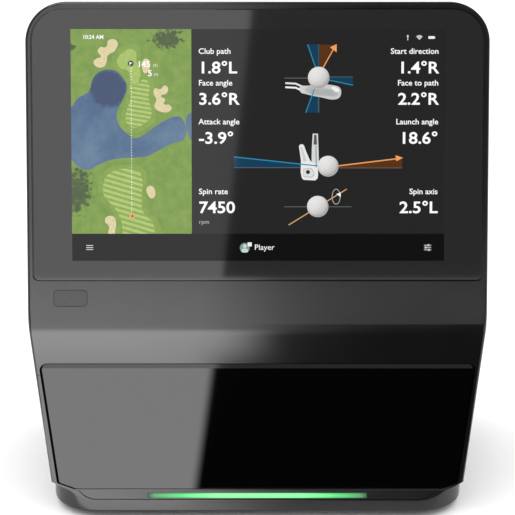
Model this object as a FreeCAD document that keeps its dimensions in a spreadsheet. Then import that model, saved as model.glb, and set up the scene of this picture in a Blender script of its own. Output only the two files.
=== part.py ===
"""A golf launch monitor: a wedge-shaped camera unit with a touch display, standing beside the ball.

X runs to the right of a person reading the display, Y runs from the front face to the back, Z is up.
The origin is on the ground under the middle of the unit. Lengths are millimetres, angles are degrees.
Every size is an expression in the cells of the sheet "Dims".
"""
import FreeCAD, Part
import math
import os
import re
import Sketcher

DOC = FreeCAD.newDocument("launch_monitor")
SHEET = DOC.addObject("Spreadsheet::Sheet", "Dims")

DIMENSIONS = {
    # enclosure
    "tilt": 15,              # lean of the display back from upright
    "back_slope": 25,        # lean of the upper back from upright
    "half_width": 133.25,
    "low_half_width": 120.6,  # half width at the height of the feet
    "taper_top": 124,        # height where the sides start to taper in
    "front_y": -70,
    "back_y": 72,
    "foot_height": 4,
    "seat_z": 16,            # the shells stand on the base at this height
    "bend_height": 120,      # the upright lower front turns into the leaning upper front
    "display_up": 107.6,     # from the bend to the display's centre, along the front
    "rim_top": 82,           # from the display's centre to the top of the unit
    "cap_depth": 24,
    "wall": 2.5,
    "front_wall": 4.5,
    "split_depth": 20,       # the front housing is this deep
    "seam": 0.3,
    "top_corner": 23,
    "back_round": 12,
    "rim_round": 1.6,
    # display
    "glass_half": 129.6,
    "glass_top": 77.7,
    "glass_bottom": 78.5,
    "glass_thick": 2,
    "glass_gap": 0.6,
    "glass_corner": 17.5,
    "glass_low_corner": 3,
    "lcd_half": 111,
    "lcd_half_tall": 70.5,
    "lcd_thick": 4,
    # camera window
    "window_top": 98,
    "window_low": 17.2,
    "window_inset": 4.3,     # from the side of the unit to the window
    "window_gap": 1.5,
    "window_thick": 4,
    "window_bevel": 2.4,
    "surround_top": 91,
    "ledge": 6,
    "corner_cut_wide": 10,   # the window's lower corners are cut off
    "corner_cut_tall": 4,
    # base
    "lip_forward": 6,
    "lip_top": 12,
    "lip_corner": 27,
    "corner_spread": 1.28,   # how far the lower front corners swell outwards for each mm up
    "groove_wide": 0.5,      # groove along the front of the lip's bevel
    "groove_deep": 0.7,
    "groove_inset": 0.7,
    "groove_reach": 110.5,
    "groove_corner": 15,
    "floor_top": 7,
    "light_half": 65,
    "light_depth": 4,
    # power button
    "button_x": -108.4,
    "button_up": -89.05,
    "button_wide": 19.1,
    "button_tall": 9.2,
    "button_gap": 0.25,
    "button_corner": 2,
    # optics
    "lens_z": 58,
    "camera_pitch": 84,
    "strobe_x": 42,
    "bench_y": -57,
    "bench_thick": 3,
    "barrel_radius": 11,
    # levelling foot
    "foot_y": 50,
    "wheel_radius": 24,
    "stem_radius": 5,
    "running": 0.06,         # radial play of a turning or sliding fit
    # fan and speaker
    "round_x": 78,           # fan to one side, speaker to the other
    "round_z": 84,
    "fan_half": 30,
    "fan_bore": 28.5,
    "blade_tip": 27.5,
    # port bay
    "bay_half": 35.6,
    "bay_low": 41.4,
    "bay_high": 68.3,
    "hinge_z": 66,
    "hinge_y": 70,
    "door_thick": 2.5,
    "pin_radius": 0.9,
    # handle
    "handle_up": 105,        # from the shoulder up the slope to the handle's middle
    "handle_half": 72,
    "handle_bar": 14,
    "handle_wide": 22,
    "handle_reach": 46,      # from the slope to the outside of the bar
}

NODES = {}


def fill_sheet():
    """Writes each driving dimension to a cell with an alias."""
    for row, (alias, size) in enumerate(DIMENSIONS.items(), start=1):
        SHEET.set(f"A{row}", alias)
        SHEET.set(f"B{row}", str(size))
        SHEET.setAlias(f"B{row}", alias)
    DOC.recompute()


def bound(text):
    """An expression for setExpression, with each alias read from the sheet."""
    return re.sub(r"[a-z][a-z_]*", lambda m: "Dims." + m[0] if m[0] in DIMENSIONS else m[0], str(text))


def num(text):
    """The value of an expression of aliases."""
    return float(SHEET.evalExpression(str(text)))


def bind(item, prop, text):
    item.setExpression(prop, bound(text))


# Points that several sub-parts share, as expressions.
DISPLAY_Y = "(front_y + display_up * sin(tilt))"
DISPLAY_Z = "(bend_height + display_up * cos(tilt))"
CAP_Y = f"({DISPLAY_Y} + rim_top * sin(tilt) + cap_depth * cos(tilt))"
CAP_Z = f"({DISPLAY_Z} + rim_top * cos(tilt) - cap_depth * sin(tilt))"
SHOULDER_Z = f"({CAP_Z} - (back_y - {CAP_Y}) / tan(back_slope))"
TAPER = "((half_width - low_half_width) / (taper_top - foot_height))"


def half_at(z):
    """Half width of the unit at a height below the taper's top."""
    return f"(half_width - {TAPER} * (taper_top - ({z})))"


class Frame:
    """A set of local axes: where its origin is, how its axes point and the turn that makes them."""

    def __init__(self, origin, x, y, z, axis, angle):
        self.origin, self.axes, self.axis, self.angle = origin, (x, y, z), axis, angle

    def point(self, local):
        """The unit's X, Y and Z of a local point, as expressions."""
        parts = []
        for k in range(3):
            terms = [f"({c}) * {a[k]}" for c, a in zip(local, self.axes) if a[k] != "0" and str(c) != "0"]
            parts.append(" + ".join([self.origin[k], *terms]))
        return parts

    def place(self, item, local=("0", "0", "0"), turn=None):
        """Puts an object at a local point. turn is a further rotation about the local axes."""
        rotation = FreeCAD.Rotation(FreeCAD.Vector(*self.axis), num(self.angle))
        if turn is not None:
            rotation = rotation.multiply(turn)
        item.Placement = FreeCAD.Placement(FreeCAD.Vector(), rotation)
        for name, text in zip("xyz", self.point(local)):
            bind(item, f"Placement.Base.{name}", text)
        if turn is None and "tilt" in self.angle:
            bind(item, "Placement.Rotation.Angle", self.angle)


HALF_TURN_LEAN = math.radians((90 - DIMENSIONS["back_slope"]) / 2)
FLAT = Frame(("0", "0", "0"), ("1", "0", "0"), ("0", "1", "0"), ("0", "0", "1"), (0, 0, 1), "0")
SIDE = Frame(("0", "0", "0"), ("0", "1", "0"), ("0", "0", "1"), ("1", "0", "0"), (1, 1, 1), "120")
FRONT = Frame(("0", "front_y", "0"), ("1", "0", "0"), ("0", "0", "1"), ("0", "-1", "0"), (1, 0, 0), "90")
REAR = Frame(("0", "back_y", "0"), ("-1", "0", "0"), ("0", "0", "1"), ("0", "1", "0"), (0, 1, 1), "180")
DISPLAY = Frame(("0", DISPLAY_Y, DISPLAY_Z), ("1", "0", "0"), ("0", "sin(tilt)", "cos(tilt)"),
                ("0", "-cos(tilt)", "sin(tilt)"), (1, 0, 0), "90 - tilt")
SLOPE = Frame(("0", "back_y", SHOULDER_Z), ("-1", "0", "0"), ("0", "-sin(back_slope)", "cos(back_slope)"),
              ("0", "cos(back_slope)", "sin(back_slope)"),
              (0, math.sin(HALF_TURN_LEAN), math.cos(HALF_TURN_LEAN)), "180")


# ---------------------------------------------------------------- building blocks

def box(frame, low, high):
    """A block between two local corners."""
    item = DOC.addObject("Part::Box", "block")
    for prop, a, b in zip(("Length", "Width", "Height"), low, high):
        bind(item, prop, f"({b}) - ({a})")
    frame.place(item, low)
    return item


def rod(frame, at, radius, length, turn=None):
    """A cylinder along the local Z axis, from a local point."""
    item = DOC.addObject("Part::Cylinder", "rod")
    bind(item, "Radius", radius)
    bind(item, "Height", length)
    frame.place(item, at, turn)
    return item


def cone(frame, at, radius, end_radius, length):
    item = DOC.addObject("Part::Cone", "cone")
    bind(item, "Radius1", radius)
    bind(item, "Radius2", end_radius)
    bind(item, "Height", length)
    frame.place(item, at)
    return item


def fuse(*items):
    """The union of objects. Separate ones stay separate solids."""
    item = DOC.addObject("Part::MultiFuse", "union")
    item.Shapes = list(items)
    item.Refine = True
    return item


def common(*items):
    item = DOC.addObject("Part::MultiCommon", "overlap")
    item.Shapes = list(items)
    item.Refine = True
    return item


def cut(base, *tools):
    item = DOC.addObject("Part::Cut", "cut")
    item.Base = base
    item.Tool = tools[0] if len(tools) == 1 else fuse(*tools)
    item.Refine = True
    return item


def node(name, item):
    """Names an object as a finished sub-part."""
    item.Label = name
    NODES[name] = item
    return item


def round_edges(item, radius, wanted):
    """Part::Fillet on the edges whose middle point and length pass the test."""
    DOC.recompute()
    fillet = DOC.addObject("Part::Fillet", "rounded")
    fillet.Base = item
    size = num(radius)
    found = []
    for i, edge in enumerate(item.Shape.Edges, start=1):
        middle = edge.valueAt((edge.FirstParameter + edge.LastParameter) / 2)
        if wanted(edge, middle):
            found.append((i, size, size))
    fillet.Edges = found
    return fillet


def add_outline(sketch, points):
    """A closed polygon whose corners are held by expressions."""
    first = sketch.GeometryCount
    spots = [FreeCAD.Vector(num(x), num(y), 0) for x, y in points]
    for a, b in zip(spots, spots[1:] + spots[:1]):
        sketch.addGeometry(Part.LineSegment(a, b), False)
    count = len(spots)
    for i in range(count):
        sketch.addConstraint(Sketcher.Constraint("Coincident", first + i, 2, first + (i + 1) % count, 1))
    for i, (point, spot) in enumerate(zip(points, spots)):
        for kind, text, size in (("DistanceX", point[0], spot.x), ("DistanceY", point[1], spot.y)):
            index = sketch.addConstraint(Sketcher.Constraint(kind, -1, 1, first + i, 1, size))
            sketch.setExpression(f"Constraints[{index}]", bound(text))


def add_circle(sketch, x, y, radius):
    index = sketch.addGeometry(Part.Circle(FreeCAD.Vector(num(x), num(y), 0), FreeCAD.Vector(0, 0, 1),
                                           num(radius)))
    for kind, text in (("DistanceX", x), ("DistanceY", y)):
        held = sketch.addConstraint(Sketcher.Constraint(kind, -1, 1, index, 3, num(text)))
        sketch.setExpression(f"Constraints[{held}]", bound(text))
    held = sketch.addConstraint(Sketcher.Constraint("Radius", index, num(radius)))
    sketch.setExpression(f"Constraints[{held}]", bound(radius))


def flat_sketch(body):
    sketch = body.newObject("Sketcher::SketchObject", "outline")
    plane = [o for o in body.Origin.OriginFeatures if o.Role == "XY_Plane"][0]
    sketch.AttachmentSupport = [(plane, "")]
    sketch.MapMode = "FlatFace"
    return sketch


def prism(frame, low, high, points, holes=(), circles=()):
    """A Body: an outline in the frame's XY plane, padded from local z low to high.

    A point is (x, y) or (x, y, corner radius). holes are outlines of the same form.
    circles are (x, y, radius).
    """
    body = DOC.addObject("PartDesign::Body", "prism")
    sketch = flat_sketch(body)
    for loop in (points, *holes):
        add_outline(sketch, [p[:2] for p in loop])
    for circle in circles:
        add_circle(sketch, *circle)
    pad = body.newObject("PartDesign::Pad", "pad")
    pad.Profile = sketch
    bind(pad, "Length", f"({high}) - ({low})")
    DOC.recompute()
    tip = pad
    corners = {}
    for loop in (points, *holes):
        for p in loop:
            if len(p) == 3:
                corners.setdefault(p[2], []).append((num(p[0]), num(p[1])))
    for radius, places in corners.items():
        tip = round_corners(body, tip, radius, places)
    body.Tip = tip
    frame.place(body, ("0", "0", low))
    return body


def round_corners(body, base, radius, places):
    """A fillet on the upright edges that stand at the given places of a body's sketch."""
    local = body.Placement.inverse()
    names = []
    for i, edge in enumerate(base.Shape.Edges, start=1):
        foot, top = (local.multVec(v.Point) for v in (edge.Vertexes[0], edge.Vertexes[-1]))
        upright = math.hypot(foot.x - top.x, foot.y - top.y) < 1e-6 and abs(foot.z - top.z) > 1e-6
        if upright and any(math.hypot(foot.x - x, foot.y - y) < 1e-3 for x, y in places):
            names.append(f"Edge{i}")
    fillet = body.newObject("PartDesign::Fillet", "corner")
    fillet.Base = (base, names)
    bind(fillet, "Radius", radius)
    DOC.recompute()
    return fillet


def rectangle(half_x, low_y, high_y, radius=None, centre="0"):
    """A rectangle's outline about a centre line, with one radius on all four corners."""
    corners = [(f"{centre} - ({half_x})", low_y), (f"{centre} + ({half_x})", low_y),
               (f"{centre} + ({half_x})", high_y), (f"{centre} - ({half_x})", high_y)]
    return corners if radius is None else [(x, y, radius) for x, y in corners]


def screw(frame, at, shank, length, head, head_height):
    """A screw whose head's underside is at a local point. It points along the local -Z."""
    x, y, z = at
    body = rod(frame, (x, y, f"({z}) - ({length})"), shank, length)
    cap = rod(frame, at, head, head_height)
    socket = rod(frame, (x, y, f"({z}) + ({head_height}) / 2"), f"({head}) / 2", head_height)
    return cut(fuse(body, cap), socket)


# ---------------------------------------------------------------- enclosure

def envelope(inset, front_inset, low):
    """The unit's outer form, moved in by inset, and by front_inset at the front face."""
    turn = "tan(tilt / 2)"
    spread = "cos(back_slope + tilt)"
    in_y = f"({inset}) * (cos(tilt) - sin(back_slope)) / {spread}"
    in_z = f"({inset}) * (cos(back_slope) - sin(tilt)) / {spread}"
    front = f"front_y + {front_inset}"
    top = f"rim_top - {inset}"
    side = prism(SIDE, "-half_width - 10", "half_width + 10", [
        (front, low),
        (front, f"bend_height - {front_inset} * {turn}", f"25 - {front_inset}"),
        (f"{DISPLAY_Y} + ({top}) * sin(tilt) + {front_inset} * cos(tilt)",
         f"{DISPLAY_Z} + ({top}) * cos(tilt) - {front_inset} * sin(tilt)"),
        (f"{CAP_Y} - {in_y}", f"{CAP_Z} - {in_z}", f"12 - {inset}"),
        (f"back_y - {inset}", f"{SHOULDER_Z} - {inset} * tan(back_slope / 2)", f"36 - {inset}"),
        (f"back_y - {inset}", low),
    ])
    half = f"half_width - {inset}"
    face = prism(DISPLAY, "-260", "60", [
        (f"-({half})", "-320"), (half, "-320"),
        (half, top, f"top_corner - {inset}"), (f"-({half})", top, f"top_corner - {inset}")])
    low_half = f"low_half_width - {inset}"
    sides = prism(FRONT, "-190", "40", [
        (f"-({low_half})", "foot_height"), (low_half, "foot_height"),
        (half, "taper_top", "120"), (half, "340"),
        (f"-({half})", "340"), (f"-({half})", "taper_top", "120")])
    return common(side, face, sides)


def round_back(item, inset, radius):
    """Rounds a form's back edges. The fillets run on along the tangent edges, down to the base."""
    slope = math.radians(num("back_slope"))
    shoulder = FreeCAD.Vector(0, num("back_y"), num(SHOULDER_Z))
    out = FreeCAD.Vector(0, math.cos(slope), math.sin(slope))

    def on_back(edge, p):
        return abs((p - shoulder).dot(out) + num(inset)) < 1e-3 and abs(p.x) > 100

    return round_edges(item, radius, on_back)


def rounded_outer():
    """The outer form with its back edges well rounded and its front edges eased."""
    outer = round_back(envelope("0", "0", "seat_z"), "0", "back_round")
    lean = math.radians(num("tilt"))
    display = FreeCAD.Vector(0, num(DISPLAY_Y), num(DISPLAY_Z))
    out = FreeCAD.Vector(0, -math.cos(lean), math.sin(lean))

    def on_front(edge, p):
        return abs((p - display).dot(out)) < 1e-3 and abs(p.x) > 100

    return round_edges(outer, "rim_round", on_front)


def front_zone(grow):
    """Everything less than split_depth behind the front surface, plus grow."""
    depth = f"(split_depth + {grow})"
    return prism(SIDE, "-160", "160", [
        ("front_y - 30", "0"), (f"front_y + {depth}", "0"),
        (f"front_y + {depth}", f"bend_height - {depth} * tan(tilt / 2)"),
        (f"{DISPLAY_Y} + (rim_top + 20) * sin(tilt) + {depth} * cos(tilt)",
         f"{DISPLAY_Z} + (rim_top + 20) * cos(tilt) - {depth} * sin(tilt)"),
        (f"{DISPLAY_Y} + (rim_top + 20) * sin(tilt) - 30 * cos(tilt)",
         f"{DISPLAY_Z} + (rim_top + 20) * cos(tilt) + 30 * sin(tilt)"),
        ("front_y - 30", "bend_height")])


def window_outline(grow, low, high, corner):
    """The window's tapering outline with its lower corners cut, grown sideways by grow."""
    low_half = f"{half_at(low)} - window_inset + ({grow})"
    high_half = f"{half_at(high)} - window_inset + ({grow})"
    flat_half = f"{low_half} - corner_cut_wide"
    cut_high = f"{low} + corner_cut_tall"
    return [(f"-({flat_half})", low, corner), (flat_half, low, corner),
            (low_half, cut_high, "2"), (high_half, high, corner),
            (f"-({high_half})", high, corner), (f"-({low_half})", cut_high, "2")]


def corner_trims():
    """What the lower front corners lose: the space outside a cone that stands on the lip's corner arc."""
    trims = []
    height = "12"
    for side in ("-", ""):
        centre = f"{side}(low_half_width + 1.1 - lip_corner)"
        block = box(FLAT, (f"{side}110 - 20", "front_y - 10", "seat_z - 1"),
                    (f"{side}110 + 20", "split_depth + front_y - 1", "seat_z + 11"))
        swell = cone(FLAT, (centre, "front_y - lip_forward + lip_corner", "seat_z - 1"),
                     "lip_corner + 0.3 - corner_spread", f"lip_corner + 0.3 + ({height} - 1) * corner_spread",
                     height)
        trims.append(cut(block, swell))
    return trims


def shell():
    """The walls of the enclosure, with the window's opening and the ledge that the window seats on."""
    outer = rounded_outer()
    inner = round_back(envelope("wall", "front_wall", "seat_z - 4"), "wall", "back_round - wall")
    corners = [box(FLAT, (f"{side}119 - 11", "front_y", "seat_z"),
                   (f"{side}119 + 11", "front_y + 14", "seat_z + 8"))
               for side in ("-", "")]
    walls = cut(fuse(cut(outer, inner), common(fuse(*corners), outer)), *corner_trims())
    opening = prism(FRONT, "-front_wall - 1", "5",
                    window_outline("window_gap", "window_low - 0.4", "window_top + 0.7", "4.5"))
    ring = prism(FRONT, "-front_wall - 2.5", "-front_wall",
                 window_outline("window_gap + 2", "seat_z", "window_top + 4", "4"),
                 holes=[window_outline("window_gap - ledge", "window_low + ledge", "window_top - ledge",
                                       "4")])
    return fuse(cut(walls, opening), ring)


TOP_BOSS_X = ("-70", "70")
LCD_SCREW = [(f"{a}116", f"{b}73.8") for a in ("-", "") for b in ("-", "")]
BASE_SCREW = [("-113.5", "30"), ("113.5", "30"), ("-60", "62"), ("60", "62"), ("-60", "-63.2"),
              ("60", "-63.2")]


def make_housings():
    """Front housing, window surround and rear housing, cut from one shell."""
    walls = shell()
    zone, wide_zone = front_zone("0"), front_zone("seam")
    front_all = common(walls, zone)
    below = box(FLAT, ("-200", "-200", "0"), ("200", "200", "surround_top"))
    below_seam = box(FLAT, ("-200", "-200", "0"), ("200", "200", "surround_top + seam"))

    recess_half, recess_gap = "glass_half + glass_gap", "glass_gap"
    recess = prism(DISPLAY, "-glass_thick - 0.3", "6", [
        (f"-({recess_half})", f"-glass_bottom - {recess_gap}", "glass_low_corner + glass_gap"),
        (recess_half, f"-glass_bottom - {recess_gap}", "glass_low_corner + glass_gap"),
        (recess_half, f"glass_top + {recess_gap}", "glass_corner + glass_gap"),
        (f"-({recess_half})", f"glass_top + {recess_gap}", "glass_corner + glass_gap")])
    lcd_hole = prism(DISPLAY, "-12", "6",
                     rectangle("lcd_half + 1.5", "-lcd_half_tall - 1.5", "lcd_half_tall + 1.5"))
    button_hole = prism(DISPLAY, "-8", "6", rectangle(
        "button_wide / 2 + button_gap", "button_up - button_tall / 2 - button_gap",
        "button_up + button_tall / 2 + button_gap", "button_corner + button_gap", centre="button_x"))
    posts = [rod(DISPLAY, (x, y, "-front_wall - 2"), "3", "2") for x, y in LCD_SCREW]
    posts += [rod(DISPLAY, (f"button_x {side} 14.5", "button_up", "-13.6"), "2.2", "13.6 - front_wall")
              for side in "+-"]
    bores = [rod(DISPLAY, (x, y, "-front_wall - 2"), "1.25", "3.4") for x, y in LCD_SCREW]
    bores += [rod(DISPLAY, (f"button_x {side} 14.5", "button_up", "-13.6"), "1", "8") for side in "+-"]
    top_posts = [rod(DISPLAY, (x, "rim_top - 9", "-split_depth"), "3.4", "split_depth - front_wall + 0.5")
                 for x in TOP_BOSS_X]
    top_bores = [rod(DISPLAY, (x, "rim_top - 9", "-split_depth"), "1.25", "12") for x in TOP_BOSS_X]
    upper = cut(front_all, below_seam)
    node("front_housing",
         cut(fuse(upper, *posts, *top_posts), recess, lcd_hole, button_hole, *bores, *top_bores))

    low_posts = [rod(FLAT, (x, y, "seat_z"), "3", "12") for x, y in BASE_SCREW[4:]]
    low_bores = [rod(FLAT, (x, y, "seat_z"), "1.25", "10") for x, y in BASE_SCREW[4:]]
    surround = common(front_all, below)
    bar = box(FLAT, ("-66", "front_y + front_wall + 2.5", "seat_z"), ("66", "front_y + 10", "seat_z + 3"))
    window_space = prism(FRONT, "-front_wall", "5",
                         window_outline("window_gap", "window_low - 0.4", "window_top + 0.7", "4.5"))
    node("window_surround", cut(fuse(surround, bar, *low_posts), window_space, *low_bores))

    make_rear(cut(walls, wide_zone))


def slots(frame, x, y, half, rows, pitch, height, low, high):
    """A block of level slots with round ends, about a local point."""
    made = []
    for i in range(rows):
        level = f"({y}) + {(i - (rows - 1) / 2) * pitch}"
        made.append(prism(frame, low, high,
                          rectangle(half, f"{level} - {height} / 2", f"{level} + {height} / 2",
                                                      f"{height} / 2 - 0.05", centre=x)))
    return made


def make_rear(base):
    """The rear housing: screw posts, vents, the port opening and the seats of the handle's screws."""
    low_posts = [rod(FLAT, (x, y, "seat_z"), "3.6", "14") for x, y in BASE_SCREW[:4]]
    webs = [box(FLAT, (f"{x} - 1", y, "seat_z"), (f"{x} + 1", "back_y - 1", "seat_z + 14"))
            for x, y in BASE_SCREW[2:4]]
    ribs = [box(FLAT, ("114", "29", "seat_z"), (f"{half_at('seat_z')} - 1", "31", "seat_z + 12")),
            box(FLAT, (f"-({half_at('seat_z')} - 1)", "29", "seat_z"), ("-114", "31", "seat_z + 12"))]
    pads = [rod(SLOPE, (f"{a}64", f"handle_up {b} 8", "-9"), "4", "9 - wall + 0.5") for a in ("", "-")
            for b in "+-"]
    top_tubes = [rod(DISPLAY, (x, "rim_top - 9", "-split_depth - 1.8"), "3.4", "1.5") for x in TOP_BOSS_X]
    top_walls = [rod(DISPLAY, (x, "rim_top - 9", "-split_depth - 8"), "3.4", "7.7") for x in TOP_BOSS_X]
    outer = envelope("0.6", "0.6", "seat_z")
    solid = fuse(base, common(fuse(*low_posts, *webs, *ribs, *pads, *top_tubes, *top_walls), outer))
    low_bores = [rod(FLAT, (x, y, "seat_z"), "1.25", "11") for x, y in BASE_SCREW[:4]]
    pad_bores = [rod(SLOPE, (f"{a}64", f"handle_up {b} 8", "-9"), "1.6", "12") for a in ("", "-")
                 for b in "+-"]
    top_bores = [rod(DISPLAY, (x, "rim_top - 9", "-split_depth - 12"), "1.5", "14") for x in TOP_BOSS_X]
    top_sinks = [rod(DISPLAY, (x, "rim_top - 9", "-split_depth - 22"), "2.8", "18.5") for x in TOP_BOSS_X]
    vents = slots(REAR, "-round_x", "round_z", "26", 10, 5.4, "2.6", "-wall - 1", "1")
    vents += slots(REAR, "round_x", "round_z", "26", 10, 5.4, "2.6", "-wall - 1", "1")
    side_vents = []
    for i in range(8):
        y = f"{-34 + i * 8}"
        for low, high in (("-140", "-105"), ("105", "140")):
            side_vents.append(prism(SIDE, low, high,
                                    [(f"{y} - 1.3", "66", "1.2"), (f"{y} + 1.3", "66", "1.2"),
                                                      (f"{y} + 1.3", "104", "1.2"),
                                                      (f"{y} - 1.3", "104", "1.2")]))
    bay = box(REAR, ("-bay_half", "bay_low", "-wall - 1"), ("bay_half", "bay_high", "2"))
    pin_hole = rod(SIDE, ("hinge_y", "hinge_z", "-bay_half - 3"), "pin_radius", "2 * bay_half + 6")
    node("rear_housing",
         cut(solid, bay, pin_hole, *low_bores, *pad_bores, *top_bores, *top_sinks, *vents, *side_vents))


def groove_prism(inset):
    """A tall prism whose front edge and front corners lie inset behind the line that the groove follows."""
    reach = f"(groove_reach - ({inset}))"
    front = f"front_y - lip_forward + {inset}"
    corner = f"groove_corner - ({inset})"
    return prism(FLAT, "0", "40", [(f"-{reach}", front, corner), (reach, front, corner),
                                   (reach, "front_y + 30"), (f"-{reach}", "front_y + 30")])


def make_base():
    """The base: a shallow tub whose front edge stands forward as a bevelled lip with a slot for the light."""
    plan = [("-half_width", "front_y - lip_forward", "lip_corner"),
            ("half_width", "front_y - lip_forward", "lip_corner"),
            ("half_width", "back_y", "20"), ("-half_width", "back_y", "20")]
    low_half = "low_half_width + 1.1"
    plan = [(x.replace("half_width", f"({low_half})"), y, r) for x, y, r in plan]
    block = prism(FLAT, "foot_height", "seat_z", plan)
    eased = round_edges(block, "2", lambda e, p: abs(p.z - num("foot_height")) < 0.01)
    bevel = prism(SIDE, "-150", "150", [
        ("front_y - lip_forward - 2", "lip_top - 2 * (seat_z - lip_top) / lip_forward"),
        ("front_y", "seat_z"), ("front_y", "seat_z + 10"), ("front_y - lip_forward - 2", "seat_z + 10")])
    lowered = prism(SIDE, "-150", "150", [
        ("front_y - lip_forward - 2", "lip_top - 2 * (seat_z - lip_top) / lip_forward - groove_deep"),
        ("front_y", "seat_z - groove_deep"), ("front_y", "seat_z + 10"),
        ("front_y - lip_forward - 2", "seat_z + 10")])
    groove = common(lowered, cut(groove_prism("groove_inset"), groove_prism("groove_inset + groove_wide")))
    hollow = prism(FLAT, "floor_top", "seat_z + 1", [
        (f"-({low_half}) + 3", "front_y + 3.5", "22"), (f"{low_half} - 3", "front_y + 3.5", "22"),
        (f"{low_half} - 3", "back_y - 3", "17"), (f"-({low_half}) + 3", "back_y - 3", "17")])
    tub = cut(eased, bevel, groove, hollow)
    raised = common(rod(FLAT, ("0", "foot_y", "foot_height"), "wheel_radius + 5", "11"),
                    box(FLAT, ("-60", "-60", "0"), ("60", "back_y - 1", "30")))
    guide = rod(FLAT, ("0", "foot_y", "19"), "11", "18")
    legs = [box(FLAT, (f"{side}11 - 2.5", "foot_y - 3", "14"), (f"{side}11 + 2.5", "foot_y + 3", "24"))
            for side in ("-", "")]
    screw_posts = [rod(FLAT, (x, y, "foot_height"), "4.2", "seat_z - foot_height") for x, y in BASE_SCREW[:4]]
    solid = fuse(tub, raised, guide, *legs, *screw_posts)
    wheel_well = rod(FLAT, ("0", "foot_y", "foot_height - 1"), "wheel_radius + 1.5", "9")
    boss_hole = rod(FLAT, ("0", "foot_y", "foot_height"), "8.4", "15")
    clip_room = rod(FLAT, ("0", "foot_y", "15"), "10.6", "4")
    stem_hole = rod(FLAT, ("0", "foot_y", "10"), "stem_radius + running", "40")
    foot_holes = [rod(FLAT, (x, "-48", "0"), "3.1", "10") for x in ("-92", "92")]
    screw_holes = [rod(FLAT, (x, y, "0"), "1.6", "20") for x, y in BASE_SCREW]
    screw_sinks = [rod(FLAT, (x, y, "0"), "3.2", "foot_height + 2.4") for x, y in BASE_SCREW]
    intake = slots(FLAT, "0", "-14", "34", 6, 6, "2.6", "2", "8")
    light_slot = light_prism("0.1", "light_depth + 2.4", "light_half + 0.2")
    node("base_tray", cut(solid, wheel_well, boss_hole, clip_room, stem_hole, *foot_holes,
                          *screw_holes, *screw_sinks, *intake, light_slot))


def light_prism(grow, depth, half, start="-1"):
    """A bar square to the lip's bevel: from start above the bevel down to depth under it."""
    rise = "(seat_z - lip_top)"
    run = "lip_forward"
    slant = f"sqrt({rise} ^ 2 + {run} ^ 2)"
    spots = []
    for share, sign in (("0.28", "-"), ("0.76", "+")):
        for d in ((start, depth) if sign == "-" else (depth, start)):
            along = f"({share} * {slant} {sign} ({grow}))"
            y = f"front_y - lip_forward + {along} * {run} / {slant} + ({d}) * {rise} / {slant}"
            z = f"lip_top + {along} * {rise} / {slant} - ({d}) * {run} / {slant}"
            spots.append((y, z))
    return prism(SIDE, f"-({half})", half, spots)


def make_light():
    """The status light: a clear bar in the lip and its strip of light-emitting diodes."""
    node("status_light_guide", light_prism("0", "light_depth", "light_half", start="0"))
    board = light_prism("0", "light_depth + 2.2", "light_half", start="light_depth + 1.2")
    diodes = []
    slant = "sqrt((seat_z - lip_top) ^ 2 + lip_forward ^ 2)"
    for i in range(9):
        x = f"{(i - 4) * 14.5}"
        d = "light_depth"
        y = f"front_y - lip_forward / 2 + {d} * (seat_z - lip_top) / {slant} - 0.6"
        z = f"(lip_top + seat_z) / 2 - {d} * lip_forward / {slant} - 0.9"
        diodes.append(box(FLAT, (f"{x} - 1.4", y, z), (f"{x} + 1.4", f"{y} + 1.2", f"{z} + 1")))
    bar = light_prism("0.1", "light_depth + 1.2", "light_half", start="light_depth + 0.01")
    node("status_led_board", fuse(board, common(fuse(*diodes), bar)))


# ---------------------------------------------------------------- display

def make_display():
    """Cover glass, adhesive frame, liquid-crystal panel, its steel back plate and its driver board."""
    glass = [("-glass_half", "-glass_bottom", "glass_low_corner"),
             ("glass_half", "-glass_bottom", "glass_low_corner"),
             ("glass_half", "glass_top", "glass_corner"), ("-glass_half", "glass_top", "glass_corner")]
    plate = prism(DISPLAY, "-glass_thick", "0", glass)
    lean = math.radians(num("tilt"))
    level = num(DISPLAY_Y) * math.cos(lean) - num(DISPLAY_Z) * math.sin(lean)
    node("display_glass", round_edges(
        plate, "0.35", lambda e, p: abs(p.y * math.cos(lean) - p.z * math.sin(lean) - level) < 1e-4))
    tape = [(f"({x}) {'+' if x[0] == '-' else '-'} 1", f"({y}) {'+' if y[0] == '-' else '-'} 1", r)
            for x, y, r in glass]
    node("display_adhesive", prism(DISPLAY, "-glass_thick - 0.3", "-glass_thick", tape,
                                   holes=[rectangle("lcd_half + 2", "-lcd_half_tall - 2",
                                                    "lcd_half_tall + 2")]))
    node("lcd_panel", prism(DISPLAY, "-glass_thick - lcd_thick", "-glass_thick - 0.05",
                            rectangle("lcd_half", "-lcd_half_tall", "lcd_half_tall")))
    plate = prism(DISPLAY, "-7.7", "-6.5", rectangle("120", "-77", "77", "4"),
                  circles=[(x, y, "1.3") for x, y in LCD_SCREW] + [("0", "45", "8")])
    notches = [box(DISPLAY, (f"{x} - 4.2", "68.4", "-9"), (f"{x} + 4.2", "80", "-5")) for x in TOP_BOSS_X]
    node("lcd_backplate", cut(plate, *notches))
    board = box(DISPLAY, ("-70", "-50", "-11.7"), ("70", "-22", "-10.1"))
    legs = [rod(DISPLAY, (f"{a}64", f"-36 {b} 10", "-10.1"), "2", "2.4") for a in ("-", "") for b in "+-"]
    chips = [box(DISPLAY, (x, "-42", "-13"), (f"{x} + 16", "-28", "-11.7")) for x in ("-46", "8", "34")]
    socket = box(DISPLAY, ("-16", "-50", "-13.2"), ("4", "-45", "-11.7"))
    node("lcd_board", fuse(board, *legs, *chips, socket))
    node("lcd_flex", ribbon())


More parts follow.
